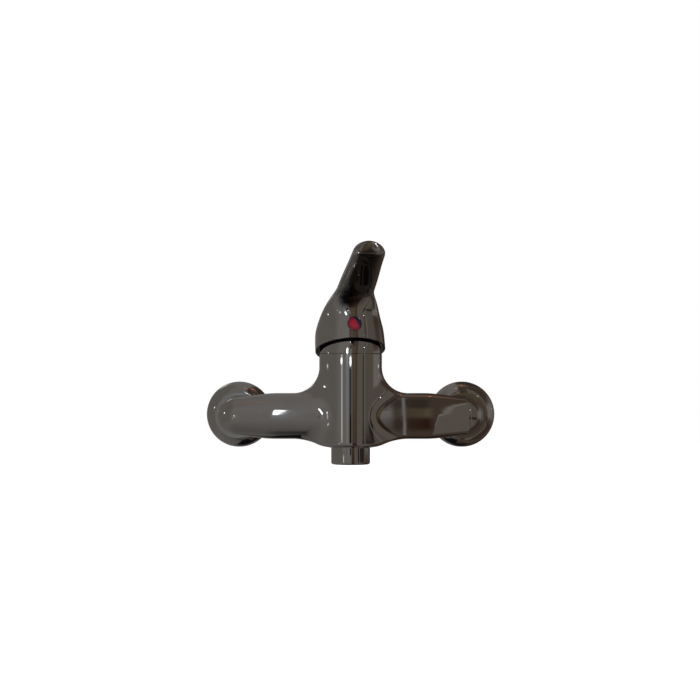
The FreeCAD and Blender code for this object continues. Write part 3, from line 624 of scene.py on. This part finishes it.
def turned_on(shell, edges, centre, along, outline):
    """Goes on from an open loop through rings of (radius, place along an axis) to a cap."""
    across = [axis for axis in range(3) if axis != along]
    for radius, place in outline:
        grown_part = bmesh.ops.extrude_edge_only(shell, edges=edges)["geom"]
        edges = [item for item in grown_part if isinstance(item, bmesh.types.BMEdge)]
        for vert in grown_part:
            if isinstance(vert, bmesh.types.BMVert):
                spoke = Vector([vert.co[axis] - centre[axis] for axis in across])
                spoke *= radius / spoke.length
                for axis, reach in zip(across, spoke):
                    vert.co[axis] = centre[axis] + reach
                vert.co[along] = place
    bmesh.ops.contextual_create(shell, geom=edges)


def cast_body():
    """Outside drawn on a grid, with the cartridge chamber and the three water bores turned in."""
    step = 0.0008
    low = (-arm_tip - 0.002, column_axis[1] - 0.0225, chin_height - 0.002)
    high = (arm_tip + 0.002, boss_back + 0.006, column_top + 0.002)
    points, faces = drawn_skin(casting_distance, low, high, step)
    mesh = bpy.data.meshes.new("body_casting")
    mesh.from_pydata(points.tolist(), [], faces.tolist())
    shell = bmesh.new()
    shell.from_mesh(mesh)
    bmesh.ops.recalc_face_normals(shell, faces=shell.faces)
    column = (*column_axis, 0.0)
    rim = open_edges(shell, (0, 0, column_top - 0.0030), (0, 0, 1))
    seat, thread_low, thread_r, bore = arm_height + 0.0060, arm_height + 0.034, 0.0188, 0.0175
    turned_on(shell, rim, column, 2, [
        (column_radius, column_top - 0.0004), (column_radius - 0.00012, column_top - 0.00012),
        (column_radius - 0.0004, column_top), (thread_r + 0.0003, column_top),
        (thread_r, column_top - 0.0003), (thread_r, thread_low), (bore, thread_low), (bore, seat),
        (bore * 0.5, seat),
    ])
    foot = open_edges(shell, (0, 0, chin_height + 0.0001), (0, 0, -1))
    outlet_r, outlet_end = 0.0111, arm_height - 0.0085
    turned_on(shell, foot, column, 2, [
        (0.0126, chin_height), (outlet_r, chin_height),
        (outlet_r, outlet_end), (0.0055, outlet_end),
    ])
    ends = open_edges(shell, (0, boss_back, 0), (0, 1, 0))
    inlet_r, inlet_end = 0.0084, boss_back - 0.012
    for side in sides.values():
        loop = [edge for edge in ends if edge.verts[0].co.x * side > 0]
        turned_on(shell, loop, (side * inlet_x, 0.0, arm_height), 1, [
            (0.0109, boss_back), (inlet_r, boss_back), (inlet_r, inlet_end), (0.004, inlet_end),
        ])
    bmesh.ops.recalc_face_normals(shell, faces=shell.faces)
    shell.to_mesh(mesh)
    shell.free()
    smooth(mesh, 30)
    piece = in_scene("body_casting", mesh)
    set_true_normals(mesh)
    return piece


def listed(rows, name, width=1, kind=float):
    """One property of all vertices, corners or faces as an array."""
    values = np.zeros(len(rows) * width, kind)
    rows.foreach_get(name, values)
    return values.reshape(-1, width) if width > 1 else values


def set_true_normals(mesh):
    """Gives every corner on the drawn skin the skin's own direction, so reflections run clean."""
    points = listed(mesh.vertices, "co", 3)
    direction = unit(slope(casting_distance, points))
    on_skin = np.abs(casting_distance(points)) < 0.00002
    corner_points = listed(mesh.loops, "vertex_index", kind=int)
    sizes = listed(mesh.polygons, "loop_total", kind=int)
    flat = np.repeat(listed(mesh.polygons, "normal", 3), sizes, axis=0)
    true = direction[corner_points]
    agree = ((true * flat).sum(1) > 0.95) & on_skin[corner_points]
    mesh.normals_split_custom_set(np.where(agree[:, None], true, 0.0).tolist())


casting = cast_body()
finish_with(casting, polished_chrome("body_chrome", 0.035, 6e-6))
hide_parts("mixer_body")
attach(casting, "mixer")


# Hose outlet
# A turned and chromed brass collar screwed up into the chin. The shower hose's nut screws into
# it, and the check valve sits above the thread.

outlet_low, outlet_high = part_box("hose_outlet")
hose_crest = 0.00932


def hose_thread(r, h, turn):
    """Extra radius of the inside thread, a triangle wave that climbs with the turn."""
    if abs(r - hose_crest) > 1e-6 or not outlet_low.z + 0.0006 < h < outlet_low.z + 0.0086:
        return 0
    phase = (h / thread_pitch - turn) % 1
    return thread_depth * (1 - np.abs(2 * phase - 1))


def hose_collar():
    """Collar and spigot outside, then the check valve's bore and the hose's thread inside."""
    bottom, shoulder, top = outlet_low.z, chin_height + 0.0004, outlet_high.z
    collar_r, spigot, valve_bore, thread_end = 0.01275, 0.0110, 0.0086, bottom + 0.009
    outside = rounded([
        (0.01065, bottom, 0.0002), (collar_r, bottom, 0.0014), (collar_r, shoulder, 0.0),
        (spigot, shoulder, 0.0), (spigot, top, 0.0003), (valve_bore, top, 0.0002),
        (valve_bore, thread_end, 0.0), (hose_crest, thread_end, 0.0),
    ])
    bore = [(hose_crest, h) for h in np.arange(thread_end - 0.0002, bottom + 0.0011, -0.00022)]
    return turned([*outside, *bore], (0, column_axis[1], 0), 128, extra=hose_thread)


collar = new_piece("hose_collar", *hose_collar(), 40)
finish_with(collar, polished_chrome("outlet_chrome", 0.06, 1e-5))
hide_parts("hose_outlet")
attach(collar, "mixer")


# Dome ring
# A chromed brass ring with a ball-shaped face, resting on the column under the lever's cap. It
# hides the cartridge nut while the lever tips over it.

pivot = Vector(frame["joints"][0]["pos_m"])


def ball_section(ball, height):
    """Radius of a ball's round section so high above its centre."""
    return math.sqrt(ball ** 2 - height ** 2)


def domed_ring():
    """Ring between two balls about the pivot, flat above and below."""
    ball, wall, edge = column_radius, 0.0012, 0.0003
    inner_ball, low, high = ball - wall, column_top - pivot.z, 0.0096
    outer = arc(0.0, ball, ball_section(ball, low + edge), ball_section(ball, high - edge), 40)
    inner = arc(0.0, inner_ball, ball_section(inner_ball, high), ball_section(inner_ball, low), 20)
    outline = [(outer[0][0] - edge, low), *outer, (outer[-1][0] - edge, high), *inner]
    return turned(outline, pivot, 192)


dome = new_piece("dome_cover", *domed_ring(), 40)
finish_with(dome, polished_chrome("ring_chrome", 0.035, 5e-6))
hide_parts("dome_ring")
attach(dome, "mixer")


# Lever
# One die-cast zinc handle: a deep cap over the dome ring that bends forward at the brow into a
# flat-bottomed stick. It is polished and chromed, and a grub screw holds it on the stem.

lift_at_rest, turn_at_rest = math.radians(21), math.radians(8.5)
rim_height, rim_radius = 0.0035, 0.0231
cap_front, cap_back, cap_half_width, cap_fullness = 0.0245, 0.025, 0.0225, 2.8
underside, thickness, reach = 0.0291, 0.0104, 0.0986
stick_half_width, root_half_width, keel_share, squareness = 0.0104, 0.0122, 0.24, 3.2
brow_radius, tip_radius = 0.0122, 0.0035


def across_lever(middle, outward, inner, outer, half_width, inner_power, outer_power, count=32):
    """Ring across the lever: widest line, direction to its back, half depths and squareness."""
    turn = 2 * math.pi * (np.arange(count) + 0.5) / count
    cosine, sine = np.cos(turn), np.sin(turn)
    power = np.where(sine >= 0, outer_power, inner_power)
    depth = np.where(sine >= 0, outer, inner)
    side = np.sign(cosine) * np.abs(cosine) ** (2 / power) * half_width
    along = np.sign(sine) * np.abs(sine) ** (2 / power) * depth
    return np.stack((side, -(middle[0] + outward[0] * along), middle[1] + outward[1] * along), 1)


def cap_front_at(height):
    """How far the cap's front stands from the pivot."""
    share = (height - rim_height) / (underside - brow_radius - rim_height)
    return rim_radius + (cap_front - rim_radius) * min(share, 1.0)


def cap_rings():
    """Rings up the cap, from its round rim to the brow."""
    rings = []
    for share in (0, 1 / 3, 2 / 3):
        height = rim_height + (underside - brow_radius - rim_height) * share
        front = cap_front_at(height)
        back = rim_radius + (cap_back - rim_radius) * share
        half_depth = (front + back) / 2
        half_width = rim_radius + (cap_half_width - rim_radius) * share ** 2
        middle = ((front - back) / 2, height)
        rings.append(across_lever(middle, (-1, 0), half_depth, half_depth, half_width, 2, 2))
    return rings


def brow_rings():
    """Rings that fan round the brow, where the cap bends over into the stick."""
    centre = np.array((cap_front + brow_radius, underside - brow_radius))
    full = np.array((centre[0] + cap_back, underside + thickness - centre[1]))
    rings = []
    for angle in range(0, 91, 10):
        turn = math.radians(angle)
        outward = np.array((-math.cos(turn), math.sin(turn)))
        corner = (np.abs(outward / full) ** cap_fullness).sum()
        depth = corner ** (-1 / cap_fullness) - brow_radius
        inner = depth * (0.5 + (keel_share - 0.5) * outward[1])
        middle = centre + outward * (brow_radius + inner)
        spread = (1 - outward[1]) ** 1.1
        half_width = root_half_width + (cap_half_width - root_half_width) * spread
        power = 2 + (squareness - 2) * outward[1] ** 2
        rings.append(across_lever(middle, outward, inner, depth - inner, half_width, power, 2))
    return rings


def stick_rings():
    """Rings along the stick, and three that round its tip."""
    start, tip = cap_front + brow_radius, reach - tip_radius
    keel = thickness * keel_share
    crown, height = thickness - keel, underside + keel
    rings = []
    for share in (0.2, 0.4, 0.6, 0.8, 1.0):
        easing = (1 + math.cos(math.pi * share)) / 2
        half_width = stick_half_width + (root_half_width - stick_half_width) * easing
        middle = (start + (tip - start) * share, height)
        rings.append(across_lever(middle, (0, 1), keel, crown, half_width, squareness, 2))
    for angle in (30, 60, 85):
        inset = tip_radius * (1 - math.cos(math.radians(angle)))
        middle = (tip + tip_radius * math.sin(math.radians(angle)), height)
        rings.append(across_lever(
            middle, (0, 1), keel - 0.15 * inset, crown - 0.35 * inset, stick_half_width - inset,
            squareness, 2,
        ))
    return rings


def spline_weights(knots, count, at):
    """Weight of each control point of a cubic spline at each place along it."""
    spans = range(len(knots) - 1)
    weights = np.array([(knots[k] <= at) & (at < knots[k + 1]) for k in spans], float)
    for degree in (1, 2, 3):
        raised = np.zeros((len(knots) - 1 - degree, len(at)))
        for k in range(len(raised)):
            if knots[k + degree] > knots[k]:
                raised[k] += (at - knots[k]) / (knots[k + degree] - knots[k]) * weights[k]
            if knots[k + degree + 1] > knots[k + 1]:
                fall = (knots[k + degree + 1] - at) / (knots[k + degree + 1] - knots[k + 1])
                raised[k] += fall * weights[k + 1]
        weights = raised
    return weights[:count].T


def lever_skin(along, around):
    """Points of the smooth skin over the rings, as (along, around, 3)."""
    poles = np.array(cap_rings() + brow_rings() + stick_rings())
    rows, columns = poles.shape[:2]
    last = rows - 3
    knots = np.array([0.0] * 3 + list(range(last + 1)) + [last] * 3)
    at = np.linspace(0, last - 1e-9, along)
    lengthwise = spline_weights(knots, rows, at)
    wrapped = np.concatenate((poles, poles[:, :3]), 1)
    loop_knots = np.arange(-3, columns + 4, dtype=float)
    at = np.arange(around) / around * columns
    crosswise = spline_weights(loop_knots, columns + 3, at)
    return np.einsum("ar,rcx,bc->abx", lengthwise, wrapped, crosswise)


def lever_points():
    """Lever as rings from the stem's socket through the cavity and the skin to the dished tip."""
    along, around = ((260, 200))
    skin = lever_skin(along, around)
    end = skin[-1]
    middle = end.mean(0)
    dish_depth, edge = 0.0010, 0.0004
    tip = []
    for share in (0.97, 0.93, 0.85, 0.7, 0.5, 0.3, 0.12):
        ring = middle + (end - middle) * share
        ring[:, 1] -= edge * math.sin(math.pi * min((1 - share) / 0.15, 1.0)) * 0.4
        ring[:, 1] += dish_depth * (1 - share ** 2)
        tip.append(ring)
    ball, roof, hub, socket, socket_end = column_radius + 0.0014, 0.0201, 0.009, 0.0058, 0.0266
    cavity = [(ball_section(ball, h), h) for h in np.linspace(rim_height, roof, 36)]
    cavity += [(0.0085, hub), (socket, hub), (socket, socket_end), (0.001, socket_end)]
    turn = 2 * math.pi * (np.arange(around) + 0.5) / around
    inside = [
        np.stack((radius * np.cos(turn), radius * np.sin(turn), np.full(around, height)), 1)
        for radius, height in reversed(cavity)
    ]
    rows = [*inside, *skin, *tip]
    return np.concatenate(rows), ring_faces(len(rows), around, looped=False)


def to_rest(points):
    """Level lever coordinates from the pivot, tipped and turned to where the lever stands."""
    tip = np.array(Matrix.Rotation(-lift_at_rest, 3, "X"))
    turn = np.array(Matrix.Rotation(turn_at_rest, 3, "Z"))
    return np.asarray(points) @ (turn @ tip).T + np.array(pivot)


badge_height, badge_radius = 0.0127, 0.0047


def turned_forward(outline, around=96):
    """Capped round plug of (radius, forward) at the badge's height on the level lever."""
    turn = 2 * math.pi * np.arange(around) / around
    rings = [
        np.stack((r * np.cos(turn), np.full(around, -y), badge_height + r * np.sin(turn)), 1)
        for r, y in outline
    ]
    return np.concatenate(rings), ring_faces(len(rings), around, looped=False)


def paint_shade_on_lever(material):
    """Paints shade into the plating where it faces down under the grip, and a little painted dark reflection on
    the slanting tip.
    """
    tree = material.node_tree
    shader = tree.nodes["Principled BSDF"]
    normal = new_node(tree, "ShaderNodeNewGeometry").outputs["Normal"]
    across, front, up = new_node(tree, "ShaderNodeSeparateXYZ", {0: normal}).outputs
    middle = maths(tree, "ABSOLUTE", maths(tree, "SUBTRACT", across, 0.04))
    # First row: painted shade where the plating faces down under the grip. Second row: painted dark reflection on
    # the slanting tip.
    for first, second, colour in (
        ((up, 1.0, 0.0, -0.44, -0.14), (middle, 1.0, 0.0, 0.03, 0.24), (0.035, 0.033, 0.042)),
        ((up, 0.0, 0.68, 0.30, 0.42), (front, 0.68, 0.0, -0.76, -0.62), (0.05, 0.045, 0.042)),
    ):
        share = maths(tree, "MULTIPLY", ranged(tree, *first), ranged(tree, *second))
        plating = shader.inputs["Base Color"].links[0].from_socket
        feed(shader, {"Base Color": mixed_colour(tree, share, plating, colour)})


lever_shape, lever_faces = lever_points()
lever = new_piece("lever", to_rest(lever_shape), lever_faces, 30)
hole_radius = badge_radius + 0.00008
hole_shape, hole_faces = turned_forward([(hole_radius, 0.0226), (hole_radius, 0.0286)])
combined(lever, new_piece("badge_hole", to_rest(hole_shape), hole_faces), "DIFFERENCE")
smooth(lever.data, 30)
lever_chrome = polished_chrome("lever_chrome", 0.04, 8e-6)
# The lever's plating gets painted shade under the grip and a painted dark reflection on its tip.
paint_shade_on_lever(lever_chrome)
finish_with(lever, lever_chrome)
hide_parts("lever_handle")
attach(lever, "lever")


# Badge
# A round plug of clear plastic over a red and a blue half, pressed into the cap over the grub
# screw. It shows which way is hot and which is cold.


def badge_points():
    """Plug with a softened edge and a slightly bulging face."""
    face, edge, bulge = cap_front_at(badge_height), 0.00012, 0.00028
    outline = [
        (badge_radius - 0.0002, face - 0.0022), (badge_radius, face - 0.0020),
        (badge_radius, face + 0.00002), (badge_radius - edge, face + edge),
    ]
    for share in np.linspace(0.95, 0.05, 14):
        outline.append((badge_radius * share, face + 0.0001 + bulge * (1 - share ** 2)))
    return turned_forward(outline)


def badge_finish():
    """Clear plastic over two colours that meet on a slanted line, with painted shade darkening it round the rim.
    """
    material, tree, shader = new_finish("badge", 0.0)
    hot_side, off_centre = (
        new_node(tree, "ShaderNodeAttribute", attribute_name=name).outputs["Fac"]
        for name in ("hot_side", "off_centre")
    )
    hot = ranged(tree, hot_side, 0.0, 1.0, 0.35, 0.65)
    halves = mixed_colour(tree, hot, (0.008, 0.008, 0.035), (0.22, 0.008, 0.020))
    # Painted shade: the colour darkens towards the badge's rim.
    rim = ranged(tree, off_centre, 0.0, 0.85, 0.45, 1.05)
    feed(shader, {
        "Base Color": mixed_colour(tree, rim, halves, (0.012, 0.005, 0.012)),
        "Roughness": ranged(tree, surface_noise(tree, 900, 2), 0.2, 0.35),
        "Coat Weight": 1.0, "Coat Roughness": 0.04,
    })
    return material


badge_shape, badge_faces = badge_points()
badge = new_piece("badge", to_rest(badge_shape), badge_faces, 40)
lean, shift, blend = math.radians(28), 0.0016, 0.004
across, above = badge_shape[:, 0], badge_shape[:, 2] - badge_height
# hot_side splits the two colours; off_centre drives the painted shade round the rim.
for name, values in (
    ("hot_side", 0.5 + (shift - across * math.cos(lean) - above * math.sin(lean)) / blend),
    ("off_centre", np.hypot(across, above) / badge_radius),
):
    tint = badge.data.attributes.new(name, "FLOAT", "POINT")
    tint.data.foreach_set("value", values.astype(np.float32))
badge.visible_glossy = False
finish_with(badge, badge_finish())
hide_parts("indicator_plug")
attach(badge, "lever")


# Inner pieces
# The cartridge, its seals and discs, the check valve, nipples, washers and strainers keep their
# solids and only get their finish: turned brass and steel, moulded plastic, ceramic and rubber.

inner_finishes = {"raw_brass": brass}
for name, metallic, dark, light, least_rough, most_rough, grain, depth in (
    ("stem_steel", 1, (0.42, 0.42, 0.43), (0.6, 0.6, 0.6), 0.18, 0.34, 1800, 4e-6),
    ("mesh_steel", 1, (0.5, 0.5, 0.5), (0.66, 0.66, 0.66), 0.2, 0.3, 2500, 3e-6),
    ("cartridge_plastic", 0, (0.66, 0.66, 0.63), (0.76, 0.76, 0.73), 0.42, 0.58, 2600, 8e-6),
    ("valve_plastic", 0, (0.02, 0.02, 0.022), (0.05, 0.05, 0.052), 0.4, 0.6, 2600, 8e-6),
    ("disc_ceramic", 0, (0.78, 0.76, 0.71), (0.84, 0.83, 0.79), 0.1, 0.2, 1500, 2e-6),
    ("seal_rubber", 0, (0.012, 0.012, 0.012), (0.03, 0.03, 0.03), 0.5, 0.72, 3500, 1e-5),
    ("washer_fibre", 0, (0.03, 0.026, 0.024), (0.07, 0.06, 0.055), 0.6, 0.85, 2200, 2e-5),
):
    inner_finishes[name] = varied_finish(
        name, metallic, (dark, light), (least_rough, most_rough), (grain, 4), (grain, 4, depth)
    )
for subpart in frame["record"]["subparts"]:
    finish = inner_finishes.get(subpart["material_slot"])
    if finish:
        finish_with(frame["nodes"][subpart["node"]], finish)


# Check valve spring
# Open coil of stainless wire under the plunger, which it holds on its seat. Its foot rests on the
# valve's guide.


def piece_of(name, shell):
    """Object at the origin made of a bmesh, which is then let go."""
    mesh = bpy.data.meshes.new(name)
    shell.to_mesh(mesh)
    shell.free()
    return in_scene(name, mesh)


coil = bmesh.new()
coil.from_mesh(frame["nodes"]["check_valve_spring"].data)
bmesh.ops.remove_doubles(coil, verts=coil.verts, dist=1e-6)
valve_spring = piece_of("valve_spring", coil)
finish_with(valve_spring, inner_finishes["mesh_steel"])
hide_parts("check_valve_spring")
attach(valve_spring, "mixer")
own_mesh(valve_spring)


# Studio and camera
# A pale floor, a soft lamp above and a pale surround for the lens. Polished metal sees a darker
# room instead: a dome with bright and dark panels, seen only in reflections.


room_centre, room_radius = Vector((0, -0.05, 0.03)), 0.35
strip_bend, bend_end = 0.15, 12.0
wall_tones = (
    # elevation, brightness
    (-89, 0.022), (-80, 0.04), (-70, 0.115), (-45, 0.135), (-22, 0.175), (0, 0.165), (22, 0.185),
    (50, 0.18), (89, 0.165),
)


def within(tree, value, middle, half, soft):
    """1 up to half away from a middle, then falling softly to 0."""
    away = maths(tree, "ABSOLUTE", maths(tree, "SUBTRACT", value, middle))
    return new_node(tree, "ShaderNodeMapRange", {
        "Value": away, "From Min": half + soft, "From Max": half,
    }, interpolation_type="SMOOTHSTEP").outputs[0]


def toned_walls(tree, elevation):
    """Colour of the bare dome, from its foot to its top."""
    upward = ranged(tree, elevation, 0.0, 1.0, -90, 90)
    walls = new_node(tree, "ShaderNodeValToRGB", {0: upward})
    ramp = walls.color_ramp
    ramp.interpolation = "B_SPLINE"
    for height, bright in wall_tones:
        stop = ramp.elements.new((height + 90) / 180)
        stop.color = (bright, bright * 0.95, bright * 0.915, 1)
    ramp.elements.remove(ramp.elements[0])
    ramp.elements.remove(ramp.elements[-1])
    return walls.outputs[0]


def reflected_room(panels, strips):
    """Dome round the mixer whose light shows only in polished metal."""
    shell = bmesh.new()
    bmesh.ops.create_uvsphere(shell, u_segments=96, v_segments=48, radius=room_radius)
    bmesh.ops.translate(shell, verts=shell.verts, vec=room_centre)
    room = piece_of("room", shell)
    for ray in ("camera", "diffuse", "transmission", "volume_scatter", "shadow"):
        setattr(room, "visible_" + ray, False)
    material, tree, _ = new_finish("room_light", 0.0)
    tree.nodes.clear()
    centred = new_node(tree, "ShaderNodeVectorMath", {
        0: new_node(tree, "ShaderNodeTexCoord").outputs["Object"], 1: room_centre,
    }, operation="SUBTRACT")
    x, y, z = new_node(tree, "ShaderNodeSeparateXYZ", {0: centred.outputs[0]}).outputs
    front = maths(tree, "MULTIPLY", y, -1.0)
    rise = maths(tree, "ARCSINE", maths(tree, "DIVIDE", z, room_radius))
    azimuth, pitch, elevation = (
        maths(tree, "DEGREES", angle)
        for angle in (maths(tree, "ARCTAN2", x, front), maths(tree, "ARCTAN2", z, front), rise)
    )
    sideways = maths(tree, "MULTIPLY", x, 100 / room_radius)
    bend = maths(tree, "MULTIPLY", maths(tree, "MINIMUM", pitch, bend_end), strip_bend)
    bent = maths(tree, "SUBTRACT", sideways, bend)
    total = toned_walls(tree, elevation)
    lights = [(azimuth, elevation, *panel) for panel in panels]
    lights += [(bent if leaning else sideways, pitch, *strip) for leaning, *strip in strips]
    for across, upright, az, el, half_az, half_el, soft_az, soft_el, colour in lights:
        inside = maths(
            tree, "MULTIPLY", within(tree, across, az, half_az, soft_az),
            within(tree, upright, el, half_el, soft_el),
        )
        total = mixed_colour(tree, inside, total, colour)
    glow = new_node(tree, "ShaderNodeEmission", {"Color": total})
    new_node(tree, "ShaderNodeOutputMaterial", {"Surface": glow.outputs[0]})
    finish_with(room, material)


white, soft_white = (3.6, 3.7, 3.7), (1.0, 1.0, 1.0)
reflected_room([
    # azimuth, elevation, half width, half height, side softness, top softness, colour
    (-98, 14, 36, 30, 26, 26, (0.138, 0.129, 0.120)),
    (75, 0, 42, 74, 30, 14, (0.108, 0.092, 0.080)),
    (118, 46, 12, 24, 14, 14, (0.062, 0.042, 0.030)),
    (114, -46, 14, 26, 16, 14, (0.050, 0.034, 0.026)),
    (108, 0, 12, 6, 12, 8, (0.190, 0.172, 0.160)),
    (154, 0, 14, 42, 8, 16, (0.050, 0.036, 0.028)),
    (180, -60, 30, 12, 12, 10, (0.006, 0.005, 0.006)),
    (-180, -60, 22, 12, 12, 10, (0.006, 0.005, 0.006)),
    (45, 27, 8, 3, 14, 6, (0.056, 0.049, 0.044)),
    (62, -12, 20, 2.5, 8, 4, (0.030, 0.022, 0.019)),
    (-31.4, -2.4, 1.5, 5.0, 2.2, 3.0, (0.50, 0.52, 0.52)),
    (-0.6, -2.0, 2.6, 6.0, 1.3, 1.5, (0.040, 0.037, 0.042)),
    (-0.6, -9.0, 2.6, 3.6, 1.3, 1.0, (0.014, 0.010, 0.009)),
    (46.5, -2.4, 1.6, 5.5, 1.5, 3, (0.058, 0.042, 0.034)),
    (1.5, 33, 2.5, 3, 3, 8, (0.100, 0.052, 0.048)),
    (-12.0, 6, 2.0, 2, 4.6, 30, (0.225, 0.235, 0.250)),
    (-12.0, 15, 0.6, 3, 3.4, 12, (1.1, 1.2, 1.3)),
    (-12.0, 16, 0.8, 8.5, 2.4, 5, (5.5, 5.8, 5.9)),
    (-0.4, 1.95, 1.4, 0.22, 2.4, 0.55, white),
    (-32.6, 2.0, 1.2, 0.15, 2.4, 0.40, white),
    (-41, -14.5, 1.0, 1.0, 1.2, 1.2, soft_white),
    (54.5, 26.8, 0.7, 0.7, 1, 1, white),
    (-88.6, 7.4, 1.2, 1.0, 1.5, 1.5, white),
    (-92, 1.3, 2, 0.05, 2, 0.25, soft_white),
    (122, 1.3, 2, 0.05, 2, 0.25, soft_white),
    (-147, 24, 3, 2, 5, 5, (0.60, 0.55, 0.54)),
    (-64, 64.5, 1.2, 0.6, 1.2, 1.0, (2.0, 1.4, 1.2)),
    (-74, 66, 8, 2, 14, 7, (0.20, 0.15, 0.13)),
    (104, 70, 6, 1, 14, 5, (0.14, 0.070, 0.050)),
    (154.5, 56.5, 3, 2, 12, 10, (0.30, 0.11, 0.06)),
    (154.5, 57, 1.0, 0.8, 1, 1, (2.2, 1.2, 0.9)),
    (-179, 70, 5, 1.5, 8, 5, (0.42, 0.22, 0.16)),
    (181, 70, 5, 1.5, 8, 5, (0.42, 0.22, 0.16)),
], [
    # leaning, sideways, pitch, half width, half height, side softness, end softness, colour
    (False, 10.9, 0, 0.6, 110, 1.6, 20, (0.070, 0.056, 0.046)),
    (False, 29.5, 0, 17.3, 110, 0.5, 20, (0.068, 0.048, 0.036)),
    (False, 23, 14, 1.0, 12, 14, 26, (0.104, 0.084, 0.050)),
    (False, 20, -42, 1.0, 14, 18, 32, (0.034, 0.015, 0.010)),
    (False, 17, 66, 1.0, 16, 14, 22, (0.040, 0.030, 0.024)),
    (True, 55, 0, 12.2, 96, 2.6, 14, (0.126, 0.110, 0.094)),
    (True, 41.8, 20, 0.2, 60, 0.9, 30, (0.20, 0.185, 0.17)),
    (False, 12.1, 0, 0.2, 100, 0.3, 10, (0.21, 0.195, 0.19)),
    (False, 78.5, 0, 0.6, 70, 2.0, 14, (0.170, 0.150, 0.136)),
])

half, floor_height = 6, -0.26
corners = [(-half, -half), (half, -half), (half, half), (-half, half)]
floor = new_piece("floor", [(*corner, floor_height) for corner in corners], [(0, 1, 2, 3)])
floor.visible_glossy = False
pale_floor, tree, shader = new_finish("pale_floor", 0.0)
feed(shader, {
    "Base Color": (0.97, 0.97, 0.97, 1), "Roughness": 0.9,
    "Emission Color": (1, 1, 1, 1), "Emission Strength": 0.2,
})
finish_with(floor, pale_floor)

scene = bpy.context.scene
world = scene.world or bpy.data.worlds.new("studio")
scene.world = world
world.use_nodes = True
feed(world.node_tree.nodes["Background"], {"Color": (1, 1, 1, 1), "Strength": 1.0})

lamp_data = bpy.data.lights.new("soft_lamp", "AREA")
lamp_data.size = 1.2
lamp_data.energy = 12
lamp = in_scene("soft_lamp", lamp_data)
lamp.location = (-0.5, -0.9, 1.1)
lamp_aim = Vector((0, -0.05, 0.04)) - lamp.location
lamp.rotation_euler = lamp_aim.to_track_quat("-Z", "Y").to_euler()
lamp.visible_glossy = False
lamp.visible_camera = False

scene.view_settings.view_transform = "Standard"

lens = bpy.data.cameras.new("camera")
lens.sensor_width = 36
lens.lens = 121.8
camera = in_scene("camera", lens)
camera.location = (-0.0004, -1.6, 0.0433 + arm_height)
camera.rotation_euler = (math.radians(90), 0, 0)
scene.camera = camera
